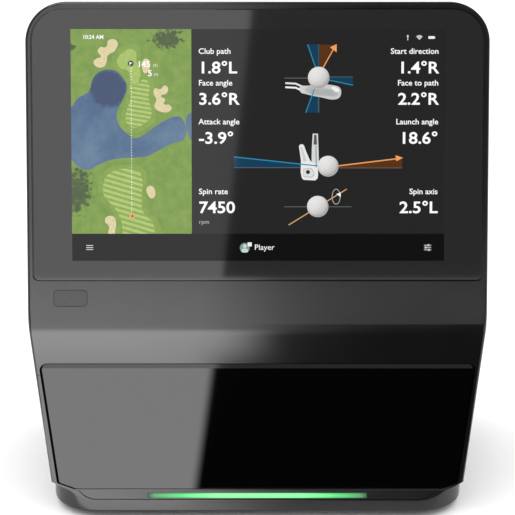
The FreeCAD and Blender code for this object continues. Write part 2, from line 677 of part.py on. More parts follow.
def ribbon():
    """The flat cable from the driver board down to the main board, bent out of one strip."""
    thick = "0.4"
    start_y, start_z = DISPLAY.point(("0", "-50", "-12.6"))[1:]
    knee_y, knee_z = DISPLAY.point(("0", "-96", "-12.6"))[1:]
    centre = [(start_y, start_z), (knee_y, knee_z), ("-30", "84"), ("-24", "55.4"), ("-19", "55.4")]
    spots = [(num(y), num(z)) for y, z in centre]
    sides = ([], [])
    for i, (y, z) in enumerate(spots):
        before, after = spots[max(i - 1, 0)], spots[min(i + 1, len(spots) - 1)]
        a = math.atan2(z - before[1], y - before[0]) if i else None
        b = math.atan2(after[1] - z, after[0] - y) if i < len(spots) - 1 else None
        mean = (a if b is None else b if a is None else (a + b) / 2)
        stretch = 1 if None in (a, b) else 1 / math.cos((b - a) / 2)
        reach = num(thick) / 2 * stretch
        for side, sign in zip(sides, (1, -1)):
            side.append((f"{y - sign * reach * math.sin(mean):.4f}",
                         f"{z + sign * reach * math.cos(mean):.4f}"))
    outline = sides[0] + sides[1][::-1]
    return prism(SIDE, "-15", "3", outline)


def make_button():
    """Power button, the plunger that it pushes, the switch and the board that holds the switch."""
    cap = prism(DISPLAY, "-4.9", "0", rectangle("button_wide / 2", "button_up - button_tall / 2",
                                                "button_up + button_tall / 2", "button_corner",
                                                centre="button_x"))
    flange = box(DISPLAY, ("button_x - 11", "button_up - 6", "-5.9"),
                 ("button_x + 11", "button_up + 6", "-4.9"))
    stem = rod(DISPLAY, ("button_x", "button_up", "-8"), "1.5", "2.1")
    node("power_button", fuse(cap, flange, stem))
    node("switch_plunger", rod(DISPLAY, ("button_x", "button_up", "-9.6"), "1.5", "1.6"))
    case = box(DISPLAY, ("button_x - 3.5", "button_up - 3.5", "-13.6"),
               ("button_x + 3.5", "button_up + 3.5", "-9"))
    node("power_switch", cut(case, rod(DISPLAY, ("button_x", "button_up", "-11.2"), "1.5 + running", "3")))
    node("button_board", prism(DISPLAY, "-15.2", "-13.6",
                               rectangle("18", "button_up - 6", "button_up + 6", "1.5", centre="button_x"),
                               circles=[(f"button_x {side} 14.5", "button_up", "1.1") for side in "+-"]))


# ---------------------------------------------------------------- camera window and optics

def make_window():
    """The dark window in front of the cameras, bevelled along its top edge, and its gasket."""
    slab = prism(FRONT, "-window_thick", "0", window_outline("0", "window_low", "window_top", "3.2"))
    bevel = prism(SIDE, "-150", "150", [
        ("front_y - 1", "window_top - window_bevel - 1"), ("front_y - 1", "window_top + 1"),
        ("front_y + window_bevel * 0.6 + 0.6", "window_top + 1"),
        ("front_y + window_bevel * 0.6", "window_top"),
        ("front_y", "window_top - window_bevel")])
    node("camera_window", cut(slab, bevel))
    node("window_gasket", prism(FRONT, "-front_wall", "-window_thick",
                                window_outline("-0.5", "window_low + 0.5", "window_top - 0.5", "3"),
                                holes=[window_outline("-4.5", "window_low + 4.5", "window_top - 4.5", "2")]))


CAMERAS = {"left": "-camera_pitch", "centre": "0", "right": "camera_pitch"}
STROBES = {"left": "-strobe_x", "right": "strobe_x"}


def camera_frame(x):
    """A frame at a camera's axis, with local Z pointing out of the lens."""
    return Frame((x, "bench_y", "lens_z"), ("1", "0", "0"), ("0", "0", "1"), ("0", "-1", "0"), (1, 0, 0),
                 "90")


def make_optics():
    """The bench, three cameras and two infrared strobes."""
    plate = prism(FRONT, "front_y - bench_y - bench_thick", "front_y - bench_y",
                  [("-106", "floor_top"), ("106", "floor_top"), ("108", "90", "6"), ("-108", "90", "6")],
                  circles=[(x, "lens_z", "barrel_radius + running") for x in CAMERAS.values()])
    flange = box(FLAT, ("-80", "bench_y + bench_thick", "floor_top"),
                 ("80", "bench_y + bench_thick + 12", "floor_top + 3"))
    node("optics_bench", fuse(plate, flange))
    for name, x in CAMERAS.items():
        make_camera(name, camera_frame(x))
    for name, x in STROBES.items():
        make_strobe(name, x)


def make_camera(name, frame):
    """One high-speed camera: barrel, front lens, and the sensor box with its board."""
    barrel = fuse(rod(frame, ("0", "0", "-bench_thick"), "barrel_radius", "bench_thick + 3.4"),
                  rod(frame, ("0", "0", "3.4"), "barrel_radius - 1.6", "2"))
    node(f"camera_{name}_barrel", cut(barrel, rod(frame, ("0", "0", "1"), "8", "6")))
    ball = DOC.addObject("Part::Sphere", "dome")
    bind(ball, "Radius", "14")
    frame.place(ball, ("0", "0", "-9.4"))
    node(f"camera_{name}_lens", common(ball, rod(frame, ("0", "0", "1"), "8 - 0.02", "6")))
    depth = "bench_thick + 16"
    case = prism(frame, f"-({depth})", "-bench_thick", rectangle("15", "-15", "15", "2"))
    board = prism(frame, f"-({depth}) - 1.6", f"-({depth})", rectangle("19", "-19", "19", "2"))
    posts = [rod(frame, (f"{a}16.8", f"{b}16.8", f"-({depth})"), "1.7", "16") for a in ("-", "")
             for b in ("-", "")]
    socket = box(frame, ("-7", "-17", f"-({depth}) - 4.6"), ("7", "-11", f"-({depth}) - 1.6"))
    node(f"camera_{name}_body", fuse(case, board, *posts, socket))


def make_strobe(name, x):
    """One infrared strobe: a board of emitters in front of the bench, a finned heat sink behind it."""
    frame = camera_frame(x)
    board = prism(frame, "0", "1.4", rectangle("20", "-26", "26", "2"))
    emitters = []
    for column in range(4):
        for row in range(5):
            at = (f"{(column - 1.5) * 9.4}", f"{(row - 2) * 10}")
            emitters.append(rod(frame, (*at, "1.4"), "2.4", "1"))
            emitters.append(cone(frame, (*at, "2.4"), "1.9", "1.2", "1.2"))
    node(f"ir_leds_{name}", fuse(board, *emitters))
    foot = box(frame, ("-20", "-26", "-bench_thick - 3"), ("20", "26", "-bench_thick"))
    fins = [box(frame, (f"{-19.5 + i * 4.2} - 0.6", "-26", "-bench_thick - 15"),
                (f"{-19.5 + i * 4.2} + 0.6", "26", "-bench_thick - 3"))
            for i in range(1, 9)]
    node(f"ir_heatsink_{name}", fuse(foot, *fins))


# ---------------------------------------------------------------- electronics

BOARD_Z = "51.5"


def make_boards():
    """Main board on its bent steel frame, its chips and the finned cooler."""
    bridge = prism(FRONT, "-116", "-46", [
        ("-107.5", "floor_top"), ("-106", "floor_top"), ("-106", "46"), ("106", "46"), ("106", "floor_top"),
        ("107.5", "floor_top"), ("107.5", "47.5", "2"), ("-107.5", "47.5", "2")])
    feet = [box(FLAT, (low, "-20", "floor_top"), (high, "24", "floor_top + 1.5"))
            for low, high in (("107.5", "114"), ("-114", "-107.5"))]
    posts = [rod(FLAT, (x, y, "47.5"), "3", "4") for x in ("-94", "94") for y in ("-18", "40")]
    bores = [rod(FLAT, (x, y, "46"), "1.25", "6") for x in ("-94", "94") for y in ("-18", "40")]
    node("board_frame", cut(fuse(bridge, *feet, *posts), *bores))
    node("main_board", prism(FLAT, BOARD_Z, f"{BOARD_Z} + 1.6", rectangle("100", "-24", "46", "3"),
                             circles=[(x, y, "1.5") for x in ("-94", "94") for y in ("-18", "40")]))
    top = f"{BOARD_Z} + 1.6"
    places = [("-20", "0", 40, 30, 2.2), ("34", "4", 16, 12, 1.2), ("34", "22", 16, 12, 1.2),
              ("56", "4", 16, 12, 1.2),
              ("56", "22", 16, 12, 1.2), ("-60", "8", 20, 20, 1.6), ("-86", "10", 14, 10, 1.4),
              ("-15", "-19", 18, 3, 5),
              ("-80", "-16", 24, 6, 6), ("20", "-18", 30, 6, 4), ("60", "-18", 26, 6, 6)]
    node("main_chips", fuse(*[box(FLAT, (x, y, top), (f"{x} + {w}", f"{y} + {d}", f"{top} + {h}"))
                              for x, y, w, d, h in places]))
    plate = box(FLAT, ("-26", "-6", f"{top} + 2.2"), ("26", "36", f"{top} + 5.2"))
    fins = [box(FLAT, (f"{-25 + i * 4.9}", "-6", f"{top} + 5.2"),
                (f"{-25 + i * 4.9} + 1.1", "36", f"{top} + 20"))
            for i in range(11)]
    node("cpu_heatsink", fuse(plate, *fins))


def make_battery():
    """Six lithium cells in a plastic tray, and the lead from the pack to the main board."""
    tray = box(FLAT, ("-101", "-30", "floor_top"), ("101", "12", "30"))
    room = box(FLAT, ("-99.4", "-28.4", "floor_top + 1.6"), ("99.4", "10.4", "40"))
    node("battery_tray", cut(tray, room))
    cells = []
    for i in range(3):
        for y in ("-18.7", "0.7"):
            cells.append(rod(FLAT, (f"{-98.6 + i * 65.8}", y, "floor_top + 11"), "9.3", "65",
                             turn=FreeCAD.Rotation(FreeCAD.Vector(0, 1, 0), 90)))
    node("battery_cells", fuse(*cells))
    node("battery_lead", battery_lead())


def battery_lead():
    """A round lead: up from the cells, past the frame's front edge and down to its socket on the board."""
    route = [FreeCAD.Vector(70, -18.7, 27.3), FreeCAD.Vector(70, -18.7, 37), FreeCAD.Vector(70, -31.2, 40),
             FreeCAD.Vector(72, -31.2, 58),
             FreeCAD.Vector(73, -26, 68), FreeCAD.Vector(73, -15, 66), FreeCAD.Vector(73, -15, 59.3)]
    edges, here = [], route[0]
    for before, corner, after in zip(route, route[1:], route[2:]):
        a, b = (before - corner), (after - corner)
        turn = math.pi - a.getAngle(b)
        back = 0.45 * min(a.Length, b.Length)
        first, last = corner + a.normalize() * back, corner + b.normalize() * back
        middle_dir = (a + b).normalize()
        radius = back / math.tan(turn / 2)
        centre = corner + middle_dir * (radius / math.cos(turn / 2))
        edges.append(Part.LineSegment(here, first).toShape())
        edges.append(Part.Arc(first, centre - middle_dir * radius, last).toShape())
        here = last
    edges.append(Part.LineSegment(here, route[-1]).toShape())
    path = Part.Wire(edges)
    ring = Part.Wire([Part.makeCircle(1.4, route[0], route[1] - route[0])])
    lead = DOC.addObject("Part::Feature", "lead")
    lead.Shape = path.makePipeShell([ring], True, True)
    return lead


def make_fan():
    """A cooling fan behind the vents: frame, bearing, shaft and a rotor with seven blades."""
    frame = Frame(("round_x", "back_y", "round_z"), ("-1", "0", "0"), ("0", "0", "1"), ("0", "1", "0"),
                  (0, 1, 1), "180")
    corner = "fan_half - 4"
    ring = prism(frame, "-19", "-4", rectangle("fan_half", "-fan_half", "fan_half", "4"),
                 circles=[("0", "0", "fan_bore")] + [(f"{a}({corner})", f"{b}({corner})", "2")
                                                     for a in ("-", "") for b in ("-", "")])
    seat = rod(frame, ("0", "0", "-19"), "12", "3")
    struts = [box(frame, ("-fan_half + 1", "-1.2", "-19"), ("fan_half - 1", "1.2", "-16.6")),
              box(frame, ("-1.2", "-fan_half + 1", "-19"), ("1.2", "fan_half - 1", "-16.6"))]
    node("fan_frame", cut(fuse(ring, seat, *struts), rod(frame, ("0", "0", "-20"), "4", "6")))
    node("fan_bearing",
         cut(rod(frame, ("0", "0", "-19"), "4", "3"), rod(frame, ("0", "0", "-20"), "1.5 + running", "5")))
    node("fan_shaft", rod(frame, ("0", "0", "-19"), "1.5", "12"))
    hub = cut(rod(frame, ("0", "0", "-15.4"), "11.5", "9.4"), rod(frame, ("0", "0", "-16"), "1.5", "9"))
    blades = []
    for i in range(7):
        spin = FreeCAD.Rotation(FreeCAD.Vector(0, 0, 1), i * 360 / 7)
        pitch = FreeCAD.Rotation(FreeCAD.Vector(1, 0, 0), 38)
        blade = DOC.addObject("Part::Box", "blade")
        blade.Length, blade.Width, blade.Height = num("blade_tip") - 11, 11, 1.1
        offset = spin.multVec(FreeCAD.Vector(10.5, 0, 0) + pitch.multVec(FreeCAD.Vector(0, -5.5, -0.55)))
        frame.place(blade, (f"{offset.x:.5f}", f"{offset.y:.5f}", f"{offset.z:.5f} - 10.6"),
                    spin.multiply(pitch))
        blades.append(blade)
    span = rod(frame, ("0", "0", "-15.4"), "blade_tip", "9.4")
    node("fan_rotor", fuse(hub, cut(common(fuse(*blades), span), rod(frame, ("0", "0", "-16"), "8", "12"))))


def make_speaker():
    """A round loudspeaker behind the other block of slots: basket with magnet, and cone."""
    frame = Frame(("-round_x", "back_y", "round_z"), ("-1", "0", "0"), ("0", "0", "1"), ("0", "1", "0"),
                  (0, 1, 1), "180")
    rim = cut(rod(frame, ("0", "0", "-6.5"), "27", "2.5"), rod(frame, ("0", "0", "-8"), "23", "6"))
    bowl = cut(cone(frame, ("0", "0", "-18"), "12", "25", "11.5"),
               cone(frame, ("0", "0", "-16.4"), "11.4", "23.6", "10"))
    magnet = rod(frame, ("0", "0", "-28"), "15", "10")
    node("speaker_basket", fuse(rim, bowl, magnet))
    paper = cut(cone(frame, ("0", "0", "-15.6"), "8", "22.4", "10"),
                cone(frame, ("0", "0", "-14.4"), "7.6", "22.2", "9.6"))
    dome = common(rod(frame, ("0", "0", "-15.6"), "8", "8"), sphere(frame, ("0", "0", "-19"), "9"))
    node("speaker_cone", fuse(paper, dome))


def sphere(frame, at, radius):
    item = DOC.addObject("Part::Sphere", "ball")
    bind(item, "Radius", radius)
    frame.place(item, at)
    return item


# ---------------------------------------------------------------- ports

def make_ports():
    """The port bay behind its hinged door, with the sockets on their board."""
    inner = "-wall"
    block = box(REAR, ("-bay_half - 5", "bay_low - 3.4", "-12"), ("bay_half + 5", "bay_high + 3", inner))
    room = box(REAR, ("-bay_half", "bay_low", "-10"), ("bay_half", "bay_high", "0"))
    jack_hole = rod(REAR, ("-22", "53", "-14"), "5.1", "6")
    hdmi_hole = box(REAR, ("-8.2", "49.2", "-14"), ("8.2", "56.2", "-9"))
    usb_hole = box(REAR, ("17", "50.6", "-14"), ("27", "54.8", "-9"))
    pin_hole = rod(SIDE, ("hinge_y", "hinge_z", "-bay_half - 3"), "pin_radius", "2 * bay_half + 6")
    node("port_bay", cut(block, room, jack_hole, hdmi_hole, usb_hole, pin_hole))
    node("port_door_pin",
         rod(SIDE, ("hinge_y", "hinge_z", "-bay_half - 3"), "pin_radius", "2 * bay_half + 6"))
    leaf = box(REAR, ("-bay_half + 0.4", "bay_low + 0.4", "-door_thick"), ("bay_half - 0.4", "hinge_z", "0"))
    knuckle = rod(SIDE, ("hinge_y", "hinge_z", "-bay_half + 0.4"), "back_y - hinge_y", "2 * bay_half - 0.8")
    grip = box(REAR, ("-7", "bay_low + 0.4", "-0.8"), ("7", "bay_low + 2.4", "1"))
    bore = rod(SIDE, ("hinge_y", "hinge_z", "-bay_half"), "pin_radius + running", "2 * bay_half")
    node("port_door", cut(fuse(leaf, knuckle), grip, bore))
    board = prism(REAR, "-16", "-14.4", rectangle("34", "41", "65", "2"))
    node("port_board", board)
    jack = cut(rod(REAR, ("-22", "53", "-14.4"), "5", "5.4"), rod(REAR, ("-22", "53", "-13.4"), "3.1", "6"))
    node("dc_jack", fuse(jack, rod(REAR, ("-22", "53", "-13.4"), "1", "4.2")))
    hdmi = cut(box(REAR, ("-8", "49.4", "-14.4"), ("8", "56", "-9")),
               box(REAR, ("-7.2", "50.2", "-13.4"), ("7.2", "55.2", "-8")))
    node("hdmi_socket", fuse(hdmi, box(REAR, ("-6", "52.3", "-13.4"), ("6", "53.3", "-9.4"))))
    usb = cut(prism(REAR, "-14.4", "-9", rectangle("4.8", "50.8", "54.6", "1.8", centre="22")),
              prism(REAR, "-13.4", "-8", rectangle("4.3", "51.3", "54.1", "1.35", centre="22")))
    node("usb_c_socket", fuse(usb, box(REAR, ("19", "52.35", "-13.4"), ("25", "53.05", "-9.4"))))


# ---------------------------------------------------------------- feet and handle

def make_feet():
    """Two rubber front feet, and a levelling foot at the back: a captive wheel that drives a keyed stem."""
    feet = []
    for x in ("-92", "92"):
        foot = fuse(cone(FLAT, (x, "-48", "0"), "8.6", "9.4", "foot_height"),
                    rod(FLAT, (x, "-48", "foot_height"), "3", "3"))
        feet.append(foot)
    node("front_feet", fuse(*feet))

    body = DOC.addObject("PartDesign::Body", "wheel")
    sketch = flat_sketch(body)
    add_circle(sketch, "0", "0", "wheel_radius")
    add_circle(sketch, "0", "0", "stem_radius + running")
    pad = body.newObject("PartDesign::Pad", "disc")
    pad.Profile = sketch
    bind(pad, "Length", "6.6")
    notch = flat_sketch(body)
    add_circle(notch, "wheel_radius + 0.5", "0", "1.4")
    DOC.recompute()
    groove = body.newObject("PartDesign::Pocket", "groove")
    groove.Profile = notch
    groove.Type = "ThroughAll"
    groove.Reversed = True
    DOC.recompute()
    pattern = body.newObject("PartDesign::PolarPattern", "grooves")
    pattern.Originals = [groove]
    pattern.Axis = (sketch, ["N_Axis"])
    pattern.Angle = 360
    pattern.Occurrences = 36
    body.Tip = pattern
    FLAT.place(body, ("0", "foot_y", "4.9"))
    boss = cut(rod(FLAT, ("0", "foot_y", "11.5"), "8.2", "7"),
               rod(FLAT, ("0", "foot_y", "11"), "stem_radius + running", "9"),
               cut(rod(FLAT, ("0", "foot_y", "15.1"), "9", "1.4"),
                   rod(FLAT, ("0", "foot_y", "15"), "7.2", "2")))
    node("foot_wheel", fuse(body, boss))
    ring = cut(rod(FLAT, ("0", "foot_y", "15.2"), "10.2", "1.2"),
               rod(FLAT, ("0", "foot_y", "15"), "7.25", "2"),
               box(FLAT, ("-2.5", "foot_y + 3", "14"), ("2.5", "foot_y + 12", "18")))
    node("foot_clip", ring)
    shank = rod(FLAT, ("0", "foot_y", "3"), "stem_radius", "32")
    flange = rod(FLAT, ("0", "foot_y", "3"), "11", "1.6")
    node("foot_stem", fuse(shank, flange))
    node("foot_pad", cone(FLAT, ("0", "foot_y", "0"), "13.2", "14", "3"))


def handle_frame_axes(up):
    """Local X along the handle's bar, Y straight out of the sloping back, Z down the slope."""
    return Frame((SLOPE.point(("0", up, "0"))[0], *SLOPE.point(("0", up, "0"))[1:]),
                 ("1", "0", "0"), ("0", "cos(back_slope)", "sin(back_slope)"),
                 ("0", "-sin(back_slope)", "cos(back_slope)"), (1, 0, 0), "back_slope")


def make_handle():
    """The carrying handle on the sloping back: a stiff arch, a soft grip round its bar and two feet."""
    axes = handle_frame_axes("handle_up")
    inner = "handle_half - 15"
    arch = prism(axes, "-handle_wide / 2", "handle_wide / 2", [
        ("-handle_half", "0"), ("-handle_half", "handle_reach", "24"), ("handle_half", "handle_reach", "24"),
        ("handle_half", "0"), (inner, "0"), (inner, "handle_reach - handle_bar", "12"),
        (f"-({inner})", "handle_reach - handle_bar", "12"), (f"-({inner})", "0")])
    lean = math.radians(num("back_slope"))
    turn = FreeCAD.Vector(0, -math.sin(lean), math.cos(lean))
    spot = FreeCAD.Vector(*[num(t) for t in axes.point(("0", "0", "0"))])
    half = num("handle_wide") / 2
    out = FreeCAD.Vector(0, math.cos(lean), math.sin(lean))

    def long_edge(edge, p):
        reach = (p - spot).dot(out)
        return abs(abs((p - spot).dot(turn)) - half) < 1e-3 and reach > 1

    soft = round_edges(arch, "4.5", long_edge)
    seats = [prism(SLOPE, "0", "3", rectangle("12", "handle_up - 15", "handle_up + 15", "5", centre=f"{a}64"))
             for a in ("", "-")]
    holes = [rod(SLOPE, (f"{a}64", f"handle_up {b} 8", "-1"), "1.7", "60") for a in ("", "-") for b in "+-"]
    wells = [rod(SLOPE, (f"{a}64", f"handle_up {b} 8", "6"), "3.2", "60") for a in ("", "-") for b in "+-"]
    node("handle_frame", cut(fuse(soft, *seats), *holes, *wells))

    def sleeve(thick, corner):
        """The grip's outer form at a thickness, with its long edges rounded."""
        block = prism(axes, f"-handle_wide / 2 - {thick}", f"handle_wide / 2 + {thick}", rectangle(
            "43", f"handle_reach - handle_bar - {thick}", f"handle_reach + {thick}", "1"))
        grown = num(f"handle_wide / 2 + {thick}")

        def along(edge, p):
            level = abs(edge.tangentAt(edge.FirstParameter).x) > 0.99
            return level and abs(abs((p - spot).dot(turn)) - grown) < 1e-3

        return round_edges(block, corner, along)

    bands = [box(axes, (f"{x} - 2.4", "0", "-30"), (f"{x} + 2.4", "70", "30")) for x in range(-36, 37, 6)]
    bands += [box(axes, (f"{x} - 3", "0", "-30"), (f"{x} + 3", "70", "30")) for x in (-41, 41)]
    ribbed = fuse(sleeve("1.5", "4.9"), common(sleeve("2.2", "5.5"), fuse(*bands)))
    node("handle_grip", cut(ribbed, soft))


def make_fasteners():
    """Every screw, as separate solids: base, handle, top, panel and board screws."""
    under = Frame(("0", "0", "0"), ("1", "0", "0"), ("0", "-1", "0"), ("0", "0", "-1"), (1, 0, 0), "180")
    screws = [screw(under, (x, f"-({y})", "-foot_height - 2.4"), "1.25", "16", "3", "2")
              for x, y in BASE_SCREW]
    screws += [screw(SLOPE, (f"{a}64", f"handle_up {b} 8", "6"), "1.6", "14", "3", "2.4") for a in ("", "-")
               for b in "+-"]
    back = Frame(DISPLAY.origin, ("-1", "0", "0"), ("0", "sin(tilt)", "cos(tilt)"),
                 ("0", "cos(tilt)", "-sin(tilt)"),
                 (0, math.sin(math.radians(52.5)), math.cos(math.radians(52.5))), "180")
    screws += [screw(back, (x, "rim_top - 9", "split_depth + 3.5"), "1.25", "14", "2.6", "2")
               for x in TOP_BOSS_X]
    screws += [screw(back, (x, y, "7.7"), "1.25", "2.6", "2.4", "1.4") for x, y in LCD_SCREW]
    screws += [screw(back, (f"-button_x {side} 14.5", "button_up", "15.2"), "1", "8", "1.9", "1.2")
               for side in "+-"]
    screws += [screw(FLAT, (x, y, f"{BOARD_Z} + 1.6"), "1.25", "6", "2.4", "1.4") for x in ("-94", "94")
               for y in ("-18", "40")]
    node("fasteners", fuse(*screws))


def check_and_write():
    """Stops if any object failed, then writes one STEP file for each sub-part."""
    DOC.recompute()
    bad = [o.Label for o in DOC.Objects if set(o.State) & {"Invalid", "Error"}]
    for name, item in NODES.items():
        if item.Shape.isNull() or not item.Shape.isValid() or not item.Shape.Solids:
            bad.append(name)
    if bad:
        raise RuntimeError(f"failed objects: {bad}")
    os.makedirs("parts", exist_ok=True)
    for old in os.listdir("parts"):
        os.remove(os.path.join("parts", old))
    for name, item in NODES.items():
        item.Shape.exportStep(f"parts/{name}.step")
    print(len(NODES), "sub-parts written")


def main():
    fill_sheet()
    make_housings()
    make_base()
    make_light()
    make_display()
    make_button()
    make_window()
    make_optics()
    make_boards()
    make_battery()
    make_fan()
    make_speaker()
    make_ports()
    make_feet()
    make_handle()
    make_fasteners()
    check_and_write()


main()
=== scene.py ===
"""Looks of a golf launch monitor: a wedge-shaped unit with a lit display over a smoked camera window."""

import logging
import math
from dataclasses import dataclass, field
from enum import Enum
from typing import Any, Callable, Iterable

import bmesh
import bpy
from mathutils import Matrix, Vector


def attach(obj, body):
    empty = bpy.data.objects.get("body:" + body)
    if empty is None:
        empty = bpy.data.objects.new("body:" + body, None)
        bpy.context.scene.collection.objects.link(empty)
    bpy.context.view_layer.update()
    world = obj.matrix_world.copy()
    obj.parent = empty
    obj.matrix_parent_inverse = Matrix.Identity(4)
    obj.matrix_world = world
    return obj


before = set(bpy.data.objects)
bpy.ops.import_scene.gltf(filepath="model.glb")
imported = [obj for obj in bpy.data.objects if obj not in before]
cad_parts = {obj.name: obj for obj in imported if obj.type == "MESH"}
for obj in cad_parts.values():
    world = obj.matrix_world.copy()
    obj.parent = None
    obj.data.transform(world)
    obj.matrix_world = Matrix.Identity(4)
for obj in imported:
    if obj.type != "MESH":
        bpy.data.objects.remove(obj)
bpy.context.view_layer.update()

LOG = logging.getLogger("launch_monitor")
MM = 0.001
LEAN = math.radians(15.0)  # lean of the display back from upright
Point = tuple[float, float]
Corner = tuple[float, float, float]
Linear = tuple[float, float, float, float]
Socket = bpy.types.NodeSocket
Tree = bpy.types.NodeTree


# ------------------------------------------------------------------ shader helpers

def linear(hex_colour: str) -> Linear:
    """Turns an sRGB hex value into a linear colour.

    Args:
        hex_colour: Six hex digits, such as "1a1a1b".

    Returns:
        The linear red, green, blue and an alpha of one.
    """
    parts = [int(hex_colour[i:i + 2], 16) / 255 for i in (0, 2, 4)]
    red, green, blue = (c / 12.92 if c <= 0.04045 else ((c + 0.055) / 1.055) ** 2.4 for c in parts)
    return red, green, blue, 1.0


def shaded(colour: tuple[float, ...], factor: float) -> Linear:
    """Gives a colour made lighter or darker by a factor, as an opaque linear colour."""
    return tuple(min(c * factor, 1.0) for c in colour[:3]) + (1.0,)


def node(tree: Tree, kind: str, settings: dict[str, Any] | None = None,
         links: dict[str, Socket] | None = None) -> bpy.types.Node:
    """Adds a node, sets its properties and sockets, and links its inputs.

    Args:
        tree: The tree that gets the node.
        kind: Blender's name for the node, without "ShaderNode".
        settings: Properties or input sockets by name, and their values.
        links: Input sockets by name, and the outputs that feed them.

    Returns:
        The new node.
    """
    made = tree.nodes.new("ShaderNode" + kind)
    settings, links = settings or {}, links or {}
    for name in [n for n in settings if not n.isdigit() and n not in made.inputs]:
        setattr(made, name, settings[name])
    for name in [n for n in settings if n.isdigit() or n in made.inputs]:
        made.inputs[int(name) if name.isdigit() else name].default_value = settings[name]
    for name, output in links.items():
        tree.links.new(output, made.inputs[int(name) if name.isdigit() else name])
    return made


class Relief(Enum):
    """How a surface was made, which decides its fine pattern."""

    MOULDED = "moulded"
    POLISHED = "polished"
    BRUSHED = "brushed"
    BLASTED = "blasted"
    SOFT = "soft"
    TRACKS = "tracks"


@dataclass(frozen=True)
class Finish:
    """One real material and the way its surface was made."""

    title: str
    colour: str
    roughness: float
    relief: Relief = Relief.MOULDED
    metallic: float = 0.0
    ior: float = 1.5
    grain: float = 0.8 * MM
    depth: float = 0.01 * MM
    variation: float = 0.12
    patch: float = 40 * MM
    specular: float = 0.5
    coat: float = 0.0

    def material(self) -> bpy.types.Material:
        """Builds the material, or finds the one already made.

        Returns:
            The material.
        """
        found = bpy.data.materials.get(self.title)
        if found is not None:
            return found
        made = bpy.data.materials.new(self.title)
        made.use_nodes = True
        tree = made.node_tree
        tree.nodes.clear()
        coords = node(tree, "TexCoord").outputs["Object"]
        base = linear(self.colour)
        patches = node(tree, "TexNoise", {"Scale": 1 / self.patch, "Detail": 3.0, "Roughness": 0.6},
                       {"Vector": coords})
        grain = self._grain(tree, coords)
        tone = node(tree, "Mix", {"data_type": "RGBA", "6": shaded(base, 1 - self.variation),
                                  "7": shaded(base, 1 + self.variation)}, {"0": patches.outputs["Fac"]})
        colour = tone.outputs[2]
        if self.relief is Relief.TRACKS:
            colour = self._tracks(tree, coords, colour)
        sheen = node(tree, "MapRange",
                     {"From Min": 0.3, "From Max": 0.7, "To Min": self.roughness * 0.9,
                      "To Max": min(self.roughness * 1.12, 1.0)}, {"Value": patches.outputs["Fac"]})
        shader = node(tree, "BsdfPrincipled",
                      {"Metallic": self.metallic, "IOR": self.ior, "Coat Weight": self.coat,
                       "Coat Roughness": 0.08, "Specular IOR Level": self.specular},
                      {"Base Color": colour, "Roughness": sheen.outputs["Result"]})
        if self.depth > 0:
            bump = node(tree, "Bump", {"Strength": 1.0, "Distance": self.depth}, {"Height": grain})
            tree.links.new(bump.outputs["Normal"], shader.inputs["Normal"])
        out = node(tree, "OutputMaterial")
        tree.links.new(shader.outputs["BSDF"], out.inputs["Surface"])
        return made

    def _grain(self, tree: Tree, coords: Socket) -> Socket:
        """Makes the fine height pattern that the way of making leaves.

        Args:
            tree: The material's tree.
            coords: Where a point lies on the piece.

        Returns:
            The height.
        """
        where = coords
        if self.relief is Relief.BRUSHED:  # brushing draws the grain out along one way
            where = node(tree, "Mapping", {"Scale": (0.04, 1.0, 1.0)}, {"Vector": coords}).outputs["Vector"]
        detail = {Relief.BRUSHED: 2.0, Relief.POLISHED: 0.0, Relief.SOFT: 4.0}.get(self.relief, 3.0)
        noise = node(tree, "TexNoise", {"Scale": 1 / self.grain, "Detail": detail, "Roughness": 0.55},
                     {"Vector": where})
        return noise.outputs["Fac"]

    def _tracks(self, tree: Tree, coords: Socket, colour: Socket) -> Socket:
        """Makes paler copper tracks under solder mask, round cells 3 mm apart.

        Args:
            tree: The material's tree.
            coords: Where a point lies on the piece.
            colour: The mask's own colour.

        Returns:
            The colour with the tracks.
        """
        cells = node(tree, "TexVoronoi",
                     {"feature": "DISTANCE_TO_EDGE", "Scale": 1 / (3 * MM), "Randomness": 0.75},
                     {"Vector": coords})
        lines = node(tree, "Math", {"operation": "LESS_THAN", "1": 0.06}, {"0": cells.outputs["Distance"]})
        return node(tree, "Mix", {"data_type": "RGBA", "7": shaded(linear(self.colour), 2.2)},
                    {"0": lines.outputs["Value"], "6": colour}).outputs[2]


# Finishes. Each is named for the real material, with what that gives the eye.
# Fine spark-eroded ABS: a dry satin black, whose 0.3 mm grain is drawn at 0.7 mm so that it shows.
HOUSING_ABS = Finish("textured_abs_black", "0d0d0e", 0.17, grain=0.7 * MM, depth=0.003 * MM, ior=1.54)
BASE_ABS = Finish("satin_abs_charcoal", "0e0e0f", 0.22, grain=0.7 * MM, depth=0.004 * MM, ior=1.54)
# Chemically strengthened glass printed black behind: a wet, level gloss with no grain at all.
COVER_GLASS = Finish("cover_glass_printed_black", "1e1e1f", 0.035, Relief.POLISHED, depth=0.0, variation=0.04,
                     patch=90 * MM, ior=1.51)
# Infrared-passing acrylic: black to the eye, polished, with the faint waviness of a moulded sheet.
SMOKED_ACRYLIC = Finish("smoked_acrylic", "030303", 0.045, Relief.POLISHED, grain=60 * MM, depth=0.01 * MM,
                        variation=0.05, patch=90 * MM, ior=1.49)
BUTTON_ABS = Finish("fine_abs_button", "101011", 0.26, grain=0.6 * MM, depth=0.004 * MM, ior=1.54)
